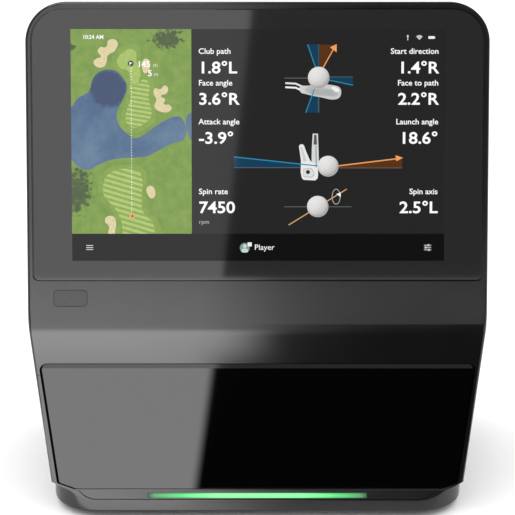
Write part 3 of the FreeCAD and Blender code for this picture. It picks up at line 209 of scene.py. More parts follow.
# Closed-cell foam takes in nearly all light. The display's adhesive and the window's gasket are dressed in
# it, and the same black is painted onto the walls and floor of the gap round the camera window as shade.
FOAM_TAPE_AND_GAP_SHADE = Finish("black_foam_tape_and_painted_gap_shade", "060606", 0.9, Relief.SOFT, grain=0.5 * MM, depth=0.03 * MM,
                   specular=0.08)
ZINC_STEEL = Finish("zinc_plated_steel", "b6b9bf", 0.34, Relief.BRUSHED, metallic=1.0, grain=0.5 * MM,
                    depth=0.004 * MM)
SOLDER_MASK = Finish("green_solder_mask", "0f4a2b", 0.32, Relief.TRACKS, grain=1.5 * MM, depth=0.01 * MM,
                     coat=0.3)
EPOXY_CHIP = Finish("moulded_epoxy", "1b1c1d", 0.55, grain=0.4 * MM, depth=0.006 * MM)
POLYIMIDE = Finish("polyimide_film", "b7702a", 0.25, Relief.POLISHED, grain=2 * MM, depth=0.004 * MM)
BLASTED_ALU = Finish("bead_blasted_aluminium", "9fa2a6", 0.42, Relief.BLASTED, metallic=1.0, grain=0.35 * MM)
ANODISED_BLACK = Finish("black_anodised_aluminium", "1d1d20", 0.36, Relief.BLASTED, metallic=0.6,
                        grain=0.35 * MM)
COATED_LENS = Finish("coated_lens_glass", "14101f", 0.02, Relief.POLISHED, depth=0.0, ior=1.6, coat=1.0)
WHITE_MASK = Finish("white_solder_mask", "cfcfca", 0.4, Relief.TRACKS, grain=1.2 * MM)
TRAY_ABS = Finish("moulded_abs_grey", "2b2b2d", 0.5)
SHRINK_SLEEVE = Finish("pvc_shrink_sleeve", "1f5c9c", 0.3, Relief.POLISHED, grain=6 * MM, depth=0.05 * MM)
RED_PVC = Finish("red_pvc_insulation", "a81a16", 0.45, Relief.SOFT, grain=1 * MM)
FAN_PBT = Finish("glass_filled_pbt", "151516", 0.48, grain=0.6 * MM, depth=0.01 * MM)
SINTERED_BRONZE = Finish("sintered_bronze", "a37a44", 0.45, Relief.BLASTED, metallic=1.0, grain=0.3 * MM)
ENAMEL_STEEL = Finish("black_enamelled_steel", "17181a", 0.28, Relief.POLISHED, grain=3 * MM, depth=0.01 * MM,
                      coat=0.4)
CONE_PULP = Finish("pressed_paper_pulp", "1d1c1b", 0.9, Relief.SOFT, grain=0.9 * MM, depth=0.05 * MM)
BAY_ABS = Finish("textured_abs_bay", "131314", 0.5, grain=0.7 * MM, depth=0.008 * MM)
NICKEL = Finish("nickel_plated_steel", "c9c7c1", 0.22, Relief.BRUSHED, metallic=1.0, grain=0.4 * MM,
                depth=0.003 * MM)
# Rubber keeps almost no gloss, and its skin shows a slightly coarse, dusty grain.
FOOT_RUBBER = Finish("moulded_rubber", "161616", 0.72, Relief.SOFT, grain=0.8 * MM, depth=0.03 * MM,
                     variation=0.2)
GRIP_TPE = Finish("soft_touch_tpe", "1c1c1e", 0.62, Relief.SOFT, grain=0.6 * MM, depth=0.02 * MM,
                  variation=0.18)
WHEEL_ACETAL = Finish("black_acetal", "202022", 0.36, grain=0.6 * MM, depth=0.006 * MM)
TURNED_STEEL = Finish("turned_steel", "a9abaf", 0.28, Relief.BRUSHED, metallic=1.0, grain=0.4 * MM)
BLACK_SCREW = Finish("black_oxide_steel", "2a2a2c", 0.32, Relief.BLASTED, metallic=0.9, grain=0.3 * MM)

DRESS: dict[Finish, tuple[str, ...]] = {
    HOUSING_ABS: ("front_housing", "window_surround", "rear_housing", "handle_frame"),
    BASE_ABS: ("base_tray",),
    COVER_GLASS: ("display_glass",),
    SMOKED_ACRYLIC: ("camera_window",),
    BUTTON_ABS: ("power_button", "switch_plunger"),
    FOAM_TAPE_AND_GAP_SHADE: ("display_adhesive", "window_gasket"),
    ZINC_STEEL: ("lcd_backplate", "board_frame", "port_door_pin", "fan_shaft", "foot_clip"),
    SOLDER_MASK: ("lcd_board", "main_board", "button_board", "port_board", "status_led_board"),
    EPOXY_CHIP: ("main_chips", "power_switch", "lcd_panel", "dc_jack"),
    POLYIMIDE: ("lcd_flex",),
    BLASTED_ALU: ("optics_bench", "ir_heatsink_left", "ir_heatsink_right", "cpu_heatsink"),
    ANODISED_BLACK: ("camera_left_barrel", "camera_centre_barrel", "camera_right_barrel",
                     "camera_left_body", "camera_centre_body", "camera_right_body"),
    COATED_LENS: ("camera_left_lens", "camera_centre_lens", "camera_right_lens"),
    WHITE_MASK: ("ir_leds_left", "ir_leds_right"),
    TRAY_ABS: ("battery_tray",),
    SHRINK_SLEEVE: ("battery_cells",),
    RED_PVC: ("battery_lead",),
    FAN_PBT: ("fan_frame", "fan_rotor"),
    SINTERED_BRONZE: ("fan_bearing",),
    ENAMEL_STEEL: ("speaker_basket",),
    CONE_PULP: ("speaker_cone",),
    BAY_ABS: ("port_bay", "port_door"),
    NICKEL: ("hdmi_socket", "usb_c_socket"),
    FOOT_RUBBER: ("front_feet", "foot_pad"),
    GRIP_TPE: ("handle_grip",),
    WHEEL_ACETAL: ("foot_wheel",),
    TURNED_STEEL: ("foot_stem",),
    BLACK_SCREW: ("fasteners",),
}


def dress(obj: bpy.types.Object, material: bpy.types.Material) -> None:
    """Gives an object one material."""
    obj.data.materials.clear()
    obj.data.materials.append(material)


def linked(name: str, mesh: bpy.types.Mesh) -> bpy.types.Object:
    """Makes an object of a mesh and puts it in the scene.

    Args:
        name: The object's name.
        mesh: Its mesh, already in place.

    Returns:
        The new object.
    """
    made = bpy.data.objects.new(name, mesh)
    bpy.context.scene.collection.objects.link(made)
    return made


# ------------------------------------------------------------------ the display's picture

@dataclass(frozen=True)
class GlassPlane:
    """The front face of the cover glass, read from the CAD node's points."""

    corners: tuple[Vector, ...]
    below_top: float = 77.7 * MM  # from the glass's top edge down to the display's centre

    @property
    def origin(self) -> Vector:
        """The display's centre on the front face."""
        upward = Vector((0.0, math.sin(LEAN), math.cos(LEAN)))
        outward = Vector((0.0, -math.cos(LEAN), math.sin(LEAN)))
        rise = max(c.dot(upward) for c in self.corners) - self.below_top
        return rise * upward + max(c.dot(outward) for c in self.corners) * outward

    def matrix(self, lift: float) -> Matrix:
        """Turns local x, y on the glass, and z out of it, into the unit's axes, lifted off the glass."""
        turn = Matrix.Rotation(math.pi / 2 - LEAN, 4, "X")
        return Matrix.Translation(self.origin) @ turn @ Matrix.Translation((0.0, 0.0, lift))


@dataclass
class Canvas:
    """A drawing area in layout units, x to the right and y down, that lies on the glass."""

    plane: GlassPlane
    wide: float = 1280.0
    tall: float = 800.0
    width: float = 214.9 * MM
    aside: float = 0.35 * MM
    first_lift: float = 0.03 * MM
    step: float = 0.012 * MM
    ball_rise: float = 2e-6  # of a ball's middle off its layer
    layers: dict[str, bmesh.types.BMesh] = field(default_factory=dict)

    @property
    def unit(self) -> float:
        """The size of one layout unit."""
        return self.width / self.wide

    def spot(self, x: float, y: float) -> Vector:
        """A layout point as a local point on the glass."""
        return Vector(((x - self.wide / 2) * self.unit + self.aside, (self.tall / 2 - y) * self.unit, 0.0))

    def in_unit(self, x: float, y: float) -> Vector:
        """A layout point in the unit's axes."""
        return self.plane.matrix(self.first_lift) @ self.spot(x, y)

    def lay(self, mesh: bpy.types.Mesh, layer: str, level: float, colour: str) -> None:
        """Adds a flat local mesh to a layer, in one colour.

        Args:
            mesh: The mesh, in local metres. It is used up.
            layer: The piece that it joins.
            level: How many steps it lies above the backing.
            colour: Its sRGB hex value.
        """
        bm = self.layers.setdefault(layer, bmesh.new())
        ink = bm.verts.layers.float_color.get("ink") or bm.verts.layers.float_color.new("ink")
        mesh.transform(self.plane.matrix(self.first_lift + level * self.step))
        count = len(bm.verts)
        bm.from_mesh(mesh)
        bm.verts.ensure_lookup_table()
        value = linear(colour)
        for vert in bm.verts[count:]:
            vert[ink] = value
        bpy.data.meshes.remove(mesh)

    def outline(self, outlines: Iterable[Iterable[Point]], smooth: bool) -> bpy.types.Mesh:
        """Fills closed outlines; one inside another is a hole.

        Args:
            outlines: Layout points round each of them.
            smooth: True for a flowing line through the points, False for straight runs.

        Returns:
            The filled mesh, in local metres.
        """
        curve = bpy.data.curves.new("outline", "CURVE")
        curve.dimensions = "2D"
        curve.fill_mode = "BOTH"
        curve.resolution_u = 6
        for points in outlines:
            spots = [self.spot(*p) for p in points]
            spline = curve.splines.new("BEZIER" if smooth else "POLY")
            knots = spline.bezier_points if smooth else spline.points
            knots.add(len(spots) - 1)
            for knot, spot in zip(knots, spots):
                knot.co = spot if smooth else (*spot, 1.0)
                if smooth:
                    knot.handle_left_type = knot.handle_right_type = "AUTO"
            spline.use_cyclic_u = True
        return as_mesh(curve)

    def trimmed(self, mesh: bpy.types.Mesh, low: Point, high: Point) -> bpy.types.Mesh:
        """Cuts a flat mesh down to a level rectangle.

        Args:
            mesh: The mesh, in local metres. It is used up.
            low: The rectangle's upper left corner in the layout.
            high: Its lower right corner.

        Returns:
            What is left of the mesh.
        """
        bm = bmesh.new()
        bm.from_mesh(mesh)
        bpy.data.meshes.remove(mesh)
        for spot, outward in ((self.spot(*low), (-1, 0, 0)), (self.spot(*low), (0, 1, 0)),
                              (self.spot(*high), (1, 0, 0)), (self.spot(*high), (0, -1, 0))):
            bmesh.ops.bisect_plane(bm, geom=bm.verts[:] + bm.edges[:] + bm.faces[:], plane_co=spot,
                                   plane_no=outward, clear_outer=True)
        return drained(bm, "trimmed")

    def shape(self, points: Iterable[Point], layer: str, level: float, colour: str,
              smooth: bool = False) -> None:
        """Draws a filled outline."""
        self.lay(self.outline([points], smooth), layer, level, colour)

    def bar(self, x: float, y: float, x2: float, y2: float, layer: str, level: float, colour: str) -> None:
        """Draws a level rectangle between two corners."""
        self.shape([(x, y), (x2, y), (x2, y2), (x, y2)], layer, level, colour)

    def stroke(self, a: Point, b: Point, width: float, layer: str, level: float, colour: str) -> None:
        """Draws a straight line.

        Args:
            a: One end of it.
            b: The other end.
            width: Its width in layout units.
            layer: The piece that it joins.
            level: How many steps it lies above the backing.
            colour: Its sRGB hex value.
        """
        run = Vector((b[0] - a[0], b[1] - a[1]))
        side = Vector((-run.y, run.x)).normalized() * width / 2
        corners = [(a[0] + side.x, a[1] + side.y), (b[0] + side.x, b[1] + side.y),
                   (b[0] - side.x, b[1] - side.y), (a[0] - side.x, a[1] - side.y)]
        self.shape(corners, layer, level, colour)

    def disc(self, x: float, y: float, radius: float, layer: str, level: float, colour: str,
             sides: int = 24) -> None:
        """Draws a filled circle.

        Args:
            x: Its centre, to the right.
            y: Its centre, down.
            radius: Its radius in layout units.
            layer: The piece that it joins.
            level: How many steps it lies above the backing.
            colour: Its sRGB hex value.
            sides: How many straight runs stand for its edge.
        """
        bm = bmesh.new()
        bmesh.ops.create_circle(bm, cap_ends=True, segments=sides, radius=radius * self.unit,
                                matrix=Matrix.Translation(self.spot(x, y)))
        self.lay(drained(bm, "disc"), layer, level, colour)

    def ring(self, x: float, y: float, rx: float, ry: float, width: float, layer: str, level: float,
             colour: str) -> None:
        """Draws an open ellipse.

        Args:
            x: Its centre, to the right.
            y: Its centre, down.
            rx: Half its width, with the line.
            ry: Half its height, with the line.
            width: The line's width.
            layer: The piece that it joins.
            level: How many steps it lies above the backing.
            colour: Its sRGB hex value.
        """
        rims = [[(x + (rx - inset) * math.cos(a), y + (ry - inset) * math.sin(a))
                 for a in (i * math.tau / 16 for i in range(16))] for inset in (0, width)]
        self.lay(self.outline(rims, True), layer, level, colour)

    def text(self, words: str, x: float, base: float, size: float, level: float = 3, right: bool = False,
             weight: float = 0.0, colour: str = "ffffff", stretch: float = 1.04) -> None:
        """Writes words on a base line.

        Args:
            words: What it says.
            x: The left end of the line, or its right end.
            base: The height of the base line.
            size: The height of the type, in layout units.
            level: How many steps it lies above the backing.
            right: True to end at x.
            weight: How much the strokes are thickened, as a share of the size.
            colour: Its sRGB hex value.
            stretch: Its width as a share of the font's own.
        """
        curve = bpy.data.curves.new("words", "FONT")
        curve.body = words
        curve.size = size * self.unit
        curve.align_x = "RIGHT" if right else "LEFT"
        curve.offset = weight * size * self.unit
        curve.resolution_u = 3
        mesh = as_mesh(curve)
        mesh.transform(Matrix.Translation(self.spot(x, base)) @ Matrix.Diagonal((stretch, 1, 1, 1)))
        self.lay(mesh, "screen_lettering", level, colour)

    def ball(self, x: float, y: float, radius: float, level: float = 4) -> None:
        """Draws a golf ball: a shaded disc with rows of dimples, darker towards its lower right.

        Args:
            x: Its centre, to the right.
            y: Its centre, down.
            radius: Its radius in layout units.
            level: How many steps it lies above the backing.
        """
        bm = bmesh.new()
        bmesh.ops.create_uvsphere(bm, u_segments=40, v_segments=24, radius=1.0)
        bmesh.ops.bisect_plane(bm, geom=bm.verts[:] + bm.edges[:] + bm.faces[:], plane_co=(0, 0, 0),
                               plane_no=(0, 0, 1), clear_inner=True)
        ink = bm.verts.layers.float_color.new("ink")
        light = Vector((-0.38, 0.52, 0.76)).normalized()
        for vert in bm.verts:
            facing = max(vert.co.normalized().dot(light), 0.0)
            tone = 0.40 + 0.42 * facing ** 0.7
            vert[ink] = (tone, tone * 0.985, tone * 0.975, 1.0)
        size = radius * self.unit
        place = Matrix.Translation(self.spot(x, y)) @ Matrix.Diagonal((size, size, self.ball_rise, 1))
        bmesh.ops.transform(bm, matrix=place, verts=bm.verts[:])
        mesh = drained(bm, "ball")
        target = self.layers.setdefault("screen_graphics", bmesh.new())
        if target.verts.layers.float_color.get("ink") is None:
            target.verts.layers.float_color.new("ink")
        mesh.transform(self.plane.matrix(self.first_lift + level * self.step))
        target.from_mesh(mesh)
        bpy.data.meshes.remove(mesh)
        for row in range(-3, 4):
            for column in range(-3, 4):
                dx, dy = (column + 0.5 * (row % 2)) * 0.25, row * 0.22
                if math.hypot(dx, dy) < 0.84:
                    near = math.sqrt(1 - dx * dx - dy * dy)
                    shade = "dbd9d6" if dx + dy < 0.1 else "c6c4c1"
                    self.disc(x + dx * radius, y + dy * radius, 0.07 * radius * (0.5 + near / 2),
                              "screen_graphics", level + 0.5, shade, sides=8)


def drained(bm: bmesh.types.BMesh, name: str) -> bpy.types.Mesh:
    """Writes a bmesh to a new mesh and frees it.

    Args:
        bm: The bmesh. It is used up.
        name: The mesh's name.

    Returns:
        The new mesh.
    """
    mesh = bpy.data.meshes.new(name)
    bm.to_mesh(mesh)
    bm.free()
    return mesh


def as_mesh(curve: bpy.types.Curve) -> bpy.types.Mesh:
    """Turns a curve or a text into a mesh, before its place is applied.

    Args:
        curve: The curve. It is removed.

    Returns:
        The mesh.
    """
    holder = bpy.data.objects.new("holder", curve)
    bpy.context.scene.collection.objects.link(holder)
    bpy.context.view_layer.update()
    mesh = bpy.data.meshes.new_from_object(holder.evaluated_get(bpy.context.evaluated_depsgraph_get()))
    bpy.data.objects.remove(holder)
    bpy.data.curves.remove(curve)
    return mesh


@dataclass(frozen=True)
class Blot:
    """A soft-edged ellipse on the display: its centre in the unit's axes, and its half sizes."""

    centre: Vector
    half_wide: float
    half_tall: float


@dataclass(frozen=True)
class LitInk:
    """Light that leaves the display, under cover glass: its colour is on the mesh, or a two-tone pattern."""

    title: str
    tones: tuple[str, str] | None = None
    patch: float = 3 * MM
    stripe: float = 0.0
    tilt: float = 0.0
    blend: tuple[float, float] = (0.35, 0.65)
    blots: tuple[Blot, ...] = ()
    blot_tones: tuple[str, str] = ("000000", "000000")
    ragged: float = 0.5
    gloss: float = 0.23

    def material(self) -> bpy.types.Material:
        """Builds the material.

        Returns:
            The material.
        """
        made = bpy.data.materials.new(self.title)
        made.use_nodes = True
        tree = made.node_tree
        tree.nodes.clear()
        if self.tones is None:
            light = node(tree, "Attribute", {"attribute_name": "ink"}).outputs["Color"]
        else:
            light = self._pattern(tree)
        shader = node(tree, "BsdfPrincipled",
                      {"Base Color": (0.002, 0.002, 0.002, 1.0), "Roughness": 0.04, "IOR": 1.51,
                       "Specular IOR Level": self.gloss, "Emission Strength": 1.0},
                      {"Emission Color": light})
        out = node(tree, "OutputMaterial")
        tree.links.new(shader.outputs["BSDF"], out.inputs["Surface"])
        return made

    def _pattern(self, tree: Tree) -> Socket:
        """Mixes two tones by noise, and by mown stripes where there are any.

        Args:
            tree: The material's tree.

        Returns:
            The colour.
        """
        coords = node(tree, "TexCoord").outputs["Object"]
        noise = node(tree, "TexNoise", {"Scale": 1 / self.patch, "Detail": 5.0, "Roughness": 0.65},
                     {"Vector": coords})
        share = node(tree, "MapRange", {"From Min": self.blend[0], "From Max": self.blend[1]},
                     {"Value": noise.outputs["Fac"]}).outputs["Result"]
        if self.stripe:
            turned = node(tree, "Mapping", {"Rotation": (0.0, math.radians(self.tilt), 0.0)},
                          {"Vector": coords})
            bands = node(tree, "TexWave", {"bands_direction": "Z", "Scale": math.pi / 10 / self.stripe},
                         {"Vector": turned.outputs["Vector"]})
            edge = node(tree, "MapRange", {"From Min": 0.35, "From Max": 0.65},
                        {"Value": bands.outputs["Fac"]})
            both = node(tree, "Math", {"operation": "MULTIPLY_ADD", "1": 3.0},
                        {"0": edge.outputs["Result"], "2": share})
            share = node(tree, "Math", {"operation": "MULTIPLY", "1": 0.25},
                         {"0": both.outputs["Value"]}).outputs["Value"]
        colour = node(tree, "Mix",
                      {"data_type": "RGBA", "6": linear(self.tones[0]), "7": linear(self.tones[1])},
                      {"0": share}).outputs[2]
        for blot in self.blots:
            colour = self._with_blot(tree, coords, colour, blot)
        return colour

    def _with_blot(self, tree: Tree, coords: Socket, colour: Socket, blot: Blot) -> Socket:
        """Lays a soft, ragged blot over a colour.

        Args:
            tree: The material's tree.
            coords: Where a point lies on the piece.
            colour: The colour under it.
            blot: The ellipse.

        Returns:
            The colour with the blot.
        """
        scale = (1 / blot.half_wide, 0.0, 1 / (blot.half_tall * math.cos(LEAN)))
        offset = tuple(-c * s for c, s in zip(blot.centre, scale))
        place = node(tree, "VectorMath", {"operation": "MULTIPLY_ADD", "1": scale, "2": offset},
                     {"0": coords})
        far = node(tree, "VectorMath", {"operation": "LENGTH"}, {"0": place.outputs["Vector"]})
        noise = node(tree, "TexNoise", {"Scale": 1 / (2.4 * MM), "Detail": 4.0, "Roughness": 0.6},
                     {"Vector": coords})
        rough = node(tree, "Math",
                     {"operation": "MULTIPLY_ADD", "1": 2.4 * self.ragged, "2": -1.2 * self.ragged},
                     {"0": noise.outputs["Fac"]})
        reach = node(tree, "Math", {"operation": "ADD"},
                     {"0": far.outputs["Value"], "1": rough.outputs["Value"]})
        share = node(tree, "MapRange", {"From Min": 0.92, "From Max": 0.74 - 0.15 * self.ragged},
                     {"Value": reach.outputs["Value"]})
        tone = node(tree, "Mix", {"data_type": "RGBA", "6": linear(self.blot_tones[0]),
                                  "7": linear(self.blot_tones[1])}, {"0": noise.outputs["Fac"]})
        return node(tree, "Mix", {"data_type": "RGBA"},
                    {"0": share.outputs["Result"], "6": colour, "7": tone.outputs[2]}).outputs[2]


class Tint(str, Enum):
    """Colours of the interface."""

    PANEL = "212122"
    NAV = "050505"
    WHITE = "ffffff"
    GREY = "6e6e6e"
    BLUE_FILL = "0b3c58"
    BLUE = "2b88ad"
    ORANGE_FILL = "583010"
    ORANGE = "f0a060"


@dataclass
class ScreenPicture:
    """The picture on the display: a hole seen from above, shot figures, three diagrams and a bar of icons."""

    canvas: Canvas
    top: float = 4.0
    map_right: float = 412.0
    nav_top: float = 706.0

    @property
    def inks(self) -> dict[str, LitInk]:
        """The light of each layer."""
        spot, unit = self.canvas.in_unit, self.canvas.unit
        trees = (Blot(spot(330, 34), 62 * unit, 42 * unit), Blot(spot(22, 560), 50 * unit, 92 * unit),
                 Blot(spot(4, 66), 14 * unit, 14 * unit))
        depths = (Blot(spot(128, 207), 78 * unit, 76 * unit),)
        return {
            "screen_backing": LitInk("display_backlight"),
            "screen_rough": LitInk("display_map_rough", ("6f9242", "88a44e"), 5 * MM, blend=(0.3, 0.7),
                                   blots=trees, blot_tones=("3a4a30", "5c7046"), ragged=1.0),
            "screen_collar": LitInk("display_map_collar", ("7c9c46", "8aa850"), 4 * MM),
            "screen_fairway": LitInk("display_map_fairway", ("84a24c", "b4cc74"), 1.5 * MM, stripe=2.45 * MM,
                                     tilt=-9),
            "screen_fairway_low": LitInk("display_map_fairway_low", ("84a24c", "b4cc74"), 1.5 * MM,
                                         stripe=2.85 * MM, tilt=-16),
            "screen_green": LitInk("display_map_green", ("9cb85c", "adc46c"), 2 * MM),
            "screen_water": LitInk("display_map_water", ("4a668a", "65809a"), 26 * MM, blend=(0.35, 0.62),
                                   blots=depths, blot_tones=("364566", "425474"), ragged=0.15),
            "screen_sand": LitInk("display_map_sand", ("d6c494", "e6d8b0"), 1.2 * MM),
            "screen_graphics": LitInk("display_graphics"),
            "screen_lettering": LitInk("display_lettering"),
        }

    def draw(self) -> list[bpy.types.Object]:
        """Draws every layer.

        Returns:
            The pieces, one for each layer.
        """
        self._backing()
        self._map()
        self._figures()
        self._swing_from_above(847, 169)
        self._swing_from_side(880, 473)
        self._spin(845, 612)
        self._navigation()
        made = []
        inks = self.inks
        for name, bm in self.canvas.layers.items():
            piece = linked(name, drained(bm, name))
            dress(piece, inks[name].material())
            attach(piece, "unit")
            made.append(piece)
        self.canvas.layers.clear()
        return made

    def _backing(self) -> None:
        """Draws the dark panel and the bar under it."""
        c = self.canvas
        c.bar(0, self.top, c.wide, self.nav_top, "screen_backing", 0, Tint.PANEL)
        c.bar(0, self.nav_top, c.wide, c.tall, "screen_backing", 0, Tint.NAV)

    def _ground(self, layer: str, level: float, points: list[Point]) -> None:
        """Draws one flowing patch of the map, cut off at the map's edges.

        Args:
            layer: The piece that it joins.
            level: How many steps it lies above the backing.
            points: Layout points round it.
        """
        c = self.canvas
        mesh = c.trimmed(c.outline([points], True), (0, self.top), (self.map_right, self.nav_top))
        c.lay(mesh, layer, level, Tint.WHITE)

    def _map(self) -> None:
        """Draws a golf hole seen from above: rough, water, fairway, green and sand."""
        c = self.canvas
        c.bar(0, self.top, self.map_right, self.nav_top, "screen_rough", 1, Tint.WHITE)
        self._ground("screen_collar", 1.5, [
            (193, 56), (232, 62), (240, 112), (250, 150), (278, 168), (282, 250), (290, 306), (258, 344),
            (214, 358), (172, 340), (172, 296), (183, 262), (190, 228), (196, 200), (178, 160), (142, 126),
            (150, 88)])
        self._ground("screen_collar", 1.5, [
            (200, 470), (248, 484), (258, 522), (255, 569), (260, 628), (296, 664), (300, 730), (160, 730),
            (154, 660), (134, 622), (96, 580), (92, 540), (108, 494), (148, 474)])
        self._ground("screen_water", 2, [
            (-30, 290), (0, 271), (23, 240), (59, 218), (77, 171), (97, 150), (142, 143), (175, 166),
            (191, 203), (176, 246), (158, 288), (162, 328), (190, 360), (216, 376), (247, 366), (281, 341),
            (323, 315), (364, 302), (379, 309), (388, 378), (349, 394), (302, 417), (261, 438), (219, 443),
            (147, 449), (95, 467), (59, 485), (28, 478), (0, 452), (-30, 440)])
        self._ground("screen_water", 2,
                     [(399, 296), (412, 290), (440, 300), (440, 380), (412, 383), (401, 362)])
        self._ground("screen_fairway", 2.5, [
            (206, 192), (224, 195), (248, 175), (263, 182), (266, 244), (274, 300), (250, 327), (216, 341),
            (193, 329), (186, 302), (196, 265), (206, 229)])
        self._ground("screen_fairway_low", 2.5, [
            (206, 483), (234, 496), (243, 522), (240, 569), (245, 630), (278, 669), (284, 720), (284, 740),
            (174, 740), (174, 706), (168, 658), (147, 616), (111, 574), (108, 543), (121, 506), (154, 487)])
        self._ground("screen_green", 3, [
            (203, 71), (221, 80), (225, 114), (237, 146), (234, 176), (221, 194), (204, 172), (196, 147),
            (173, 138), (158, 119), (163, 100), (183, 81)])
        for blob in self._bunkers():
            self._ground("screen_sand", 3, blob)
        for i in range(51):
            c.disc(206, 137 + i * 10, 1.9, "screen_graphics", 5, Tint.WHITE, sides=8)
        c.disc(205, 121, 10, "screen_graphics", 5, "3c4630")
        c.shape([(201, 116), (211, 119), (203, 123), (203, 128), (201, 128)], "screen_graphics", 6,
                Tint.WHITE)
        c.disc(208, 645, 11, "screen_graphics", 5, "d8a048")
        c.disc(208, 645, 8, "screen_graphics", 5.5, "e0b878")
        c.shape([(208, 638), (213, 650), (208, 647), (203, 650)], "screen_graphics", 6, "3a3020")

    @staticmethod
    def _bunkers() -> list[list[Point]]:
        """Gives the outlines of the sand."""
        return [
            [(131, 41), (159, 46), (151, 77), (127, 94), (122, 117), (112, 132), (88, 132), (78, 116),
             (90, 103), (103, 99), (93, 80), (101, 66), (121, 65)],
            [(287, 206), (305, 209), (322, 196), (332, 206), (326, 224), (308, 232), (322, 244), (318, 259),
             (337, 263), (343, 278), (303, 285), (285, 268), (292, 244), (283, 224)],
            [(259, 546), (274, 541), (287, 561), (276, 584), (264, 576)],
            [(246, 112), (260, 105), (270, 119), (262, 150), (253, 154), (245, 140)],
            [(117, 650), (141, 646), (151, 663), (148, 700), (148, 725), (126, 725), (124, 705), (127, 680),
             (114, 664)],
        ]

    def _figures(self) -> None:
        """Writes labels and values in two columns, and the distance by the flag."""
        c = self.canvas
        rows = ((88, 154, "Club path", "1.8°L", "Start direction", "1.4°R"),
                (196, 261, "Face angle", "3.6°R", "Face to path", "2.2°R"),
                (329, 395, "Attack angle", "-3.9°", "Launch angle", "18.6°"),
                (569, 634, "Spin rate", "7450", "Spin axis", "2.5°L"))
        for label_base, value_base, left_label, left_value, right_label, right_value in rows:
            for words, x, right in ((left_label, 436, False), (right_label, 1257, True)):
                c.text(words, x, label_base, 27, right=right, weight=0.012)
            for words, x, right in ((left_value, 436, False), (right_value, 1257, True)):
                c.text(words, x, value_base, 56, right=right, weight=0.018, stretch=1.12)
        c.text("rpm", 436, 672, 21, colour="b4b4b4")
        c.text("145", 227, 133, 29, 7, weight=0.02)
        c.text("m", 281, 133, 20, 7, colour="dfe6d0")
        c.text("5", 263, 164, 29, 7, weight=0.02)
        c.text("m", 283, 164, 20, 7, colour="dfe6d0")
        c.text("10:24 AM", 41, 37, 19, 7, weight=0.02, stretch=0.96)

    def _swing_from_above(self, x: float, y: float) -> None:
        """Draws club path, face and start of the shot, seen from above, about the ball's centre.

        Args:
            x: The ball's centre, to the right.
            y: The ball's centre, down.
        """
        c, g = self.canvas, "screen_graphics"
        c.shape([(x - 39, y - 113), (x - 2, y - 113), (x - 2, y - 30), (x - 11, y - 30)], g, 1,
                Tint.BLUE_FILL)
        c.shape([(x + 4, y - 112), (x + 56, y - 112), (x + 14, y - 30), (x + 4, y - 30)], g, 1,
                Tint.ORANGE_FILL)
        c.stroke((x, y - 113), (x, y - 30), 4, g, 1.5, "4c5054")
        c.stroke((x - 38, y - 113), (x - 10, y - 32), 3.6, g, 2, Tint.BLUE)
        c.stroke((x + 14, y - 32), (x + 52, y - 100), 3.8, g, 2, Tint.ORANGE)
        c.shape([(x + 38, y - 103), (x + 61, y - 114), (x + 61, y - 86)], g, 2.5, Tint.ORANGE)
        c.shape([(x + 36, y - 3), (x + 117, y - 3), (x + 117, y + 27), (x + 36, y + 9)], g, 1, Tint.BLUE_FILL)
        c.stroke((x + 36, y + 9), (x + 117, y + 26), 3.4, g, 2, Tint.BLUE)
        c.stroke((x + 36, y - 2), (x + 117, y - 2), 2.0, g, 1.5, "4c6a78")
        c.stroke((x - 117, y + 2), (x - 34, y + 2), 2.2, g, 1, Tint.GREY)
        c.shape([(x - 14, y + 36), (x, y + 36), (x, y + 120), (x - 46, y + 120)], g, 1, Tint.BLUE_FILL)
        c.stroke((x, y + 60), (x, y + 120), 4, g, 1.5, "4c5d64")
        blade = [(x - 64, y + 32), (x - 41, y + 28), (x + 58, y + 28), (x + 73, y + 36), (x + 77, y + 52),
                 (x + 70, y + 69), (x + 52, y + 75), (x + 10, y + 68), (x - 46, y + 56), (x - 62, y + 50)]
        c.shape(blade, g, 3, "c9ccca", True)
        c.shape([(x - 44, y + 38), (x + 48, y + 42), (x + 66, y + 50), (x + 60, y + 64), (x + 36, y + 64),
                 (x - 40, y + 50)], g, 3.3, "b4b9b7", True)
        c.shape([(x + 44, y + 34), (x + 60, y + 34), (x + 70, y + 46), (x + 62, y + 50), (x + 50, y + 42)],
                g, 3.6, "eef0ee", True)
        for offset, tone in ((20, "e6e6e6"), (34, "f4f4f4")):
            c.stroke((x - 114, y + offset - 1), (x - 78, y + offset + 1), 6, g, 3, tone)
            c.stroke((x - 80, y + offset), (x - 48, y + offset + 15), 6, g, 3, tone)
        c.stroke((x - 14, y + 38), (x - 44, y + 120), 3.4, g, 3.8, Tint.BLUE)
        for step in range(5):
            c.stroke((x - 30, y + 41 + step * 3.2), (x + 44 + step * 3, y + 45 + step * 3.6), 0.9, g, 3.5,
                     "8f9694")
        c.ball(x, y, 37)

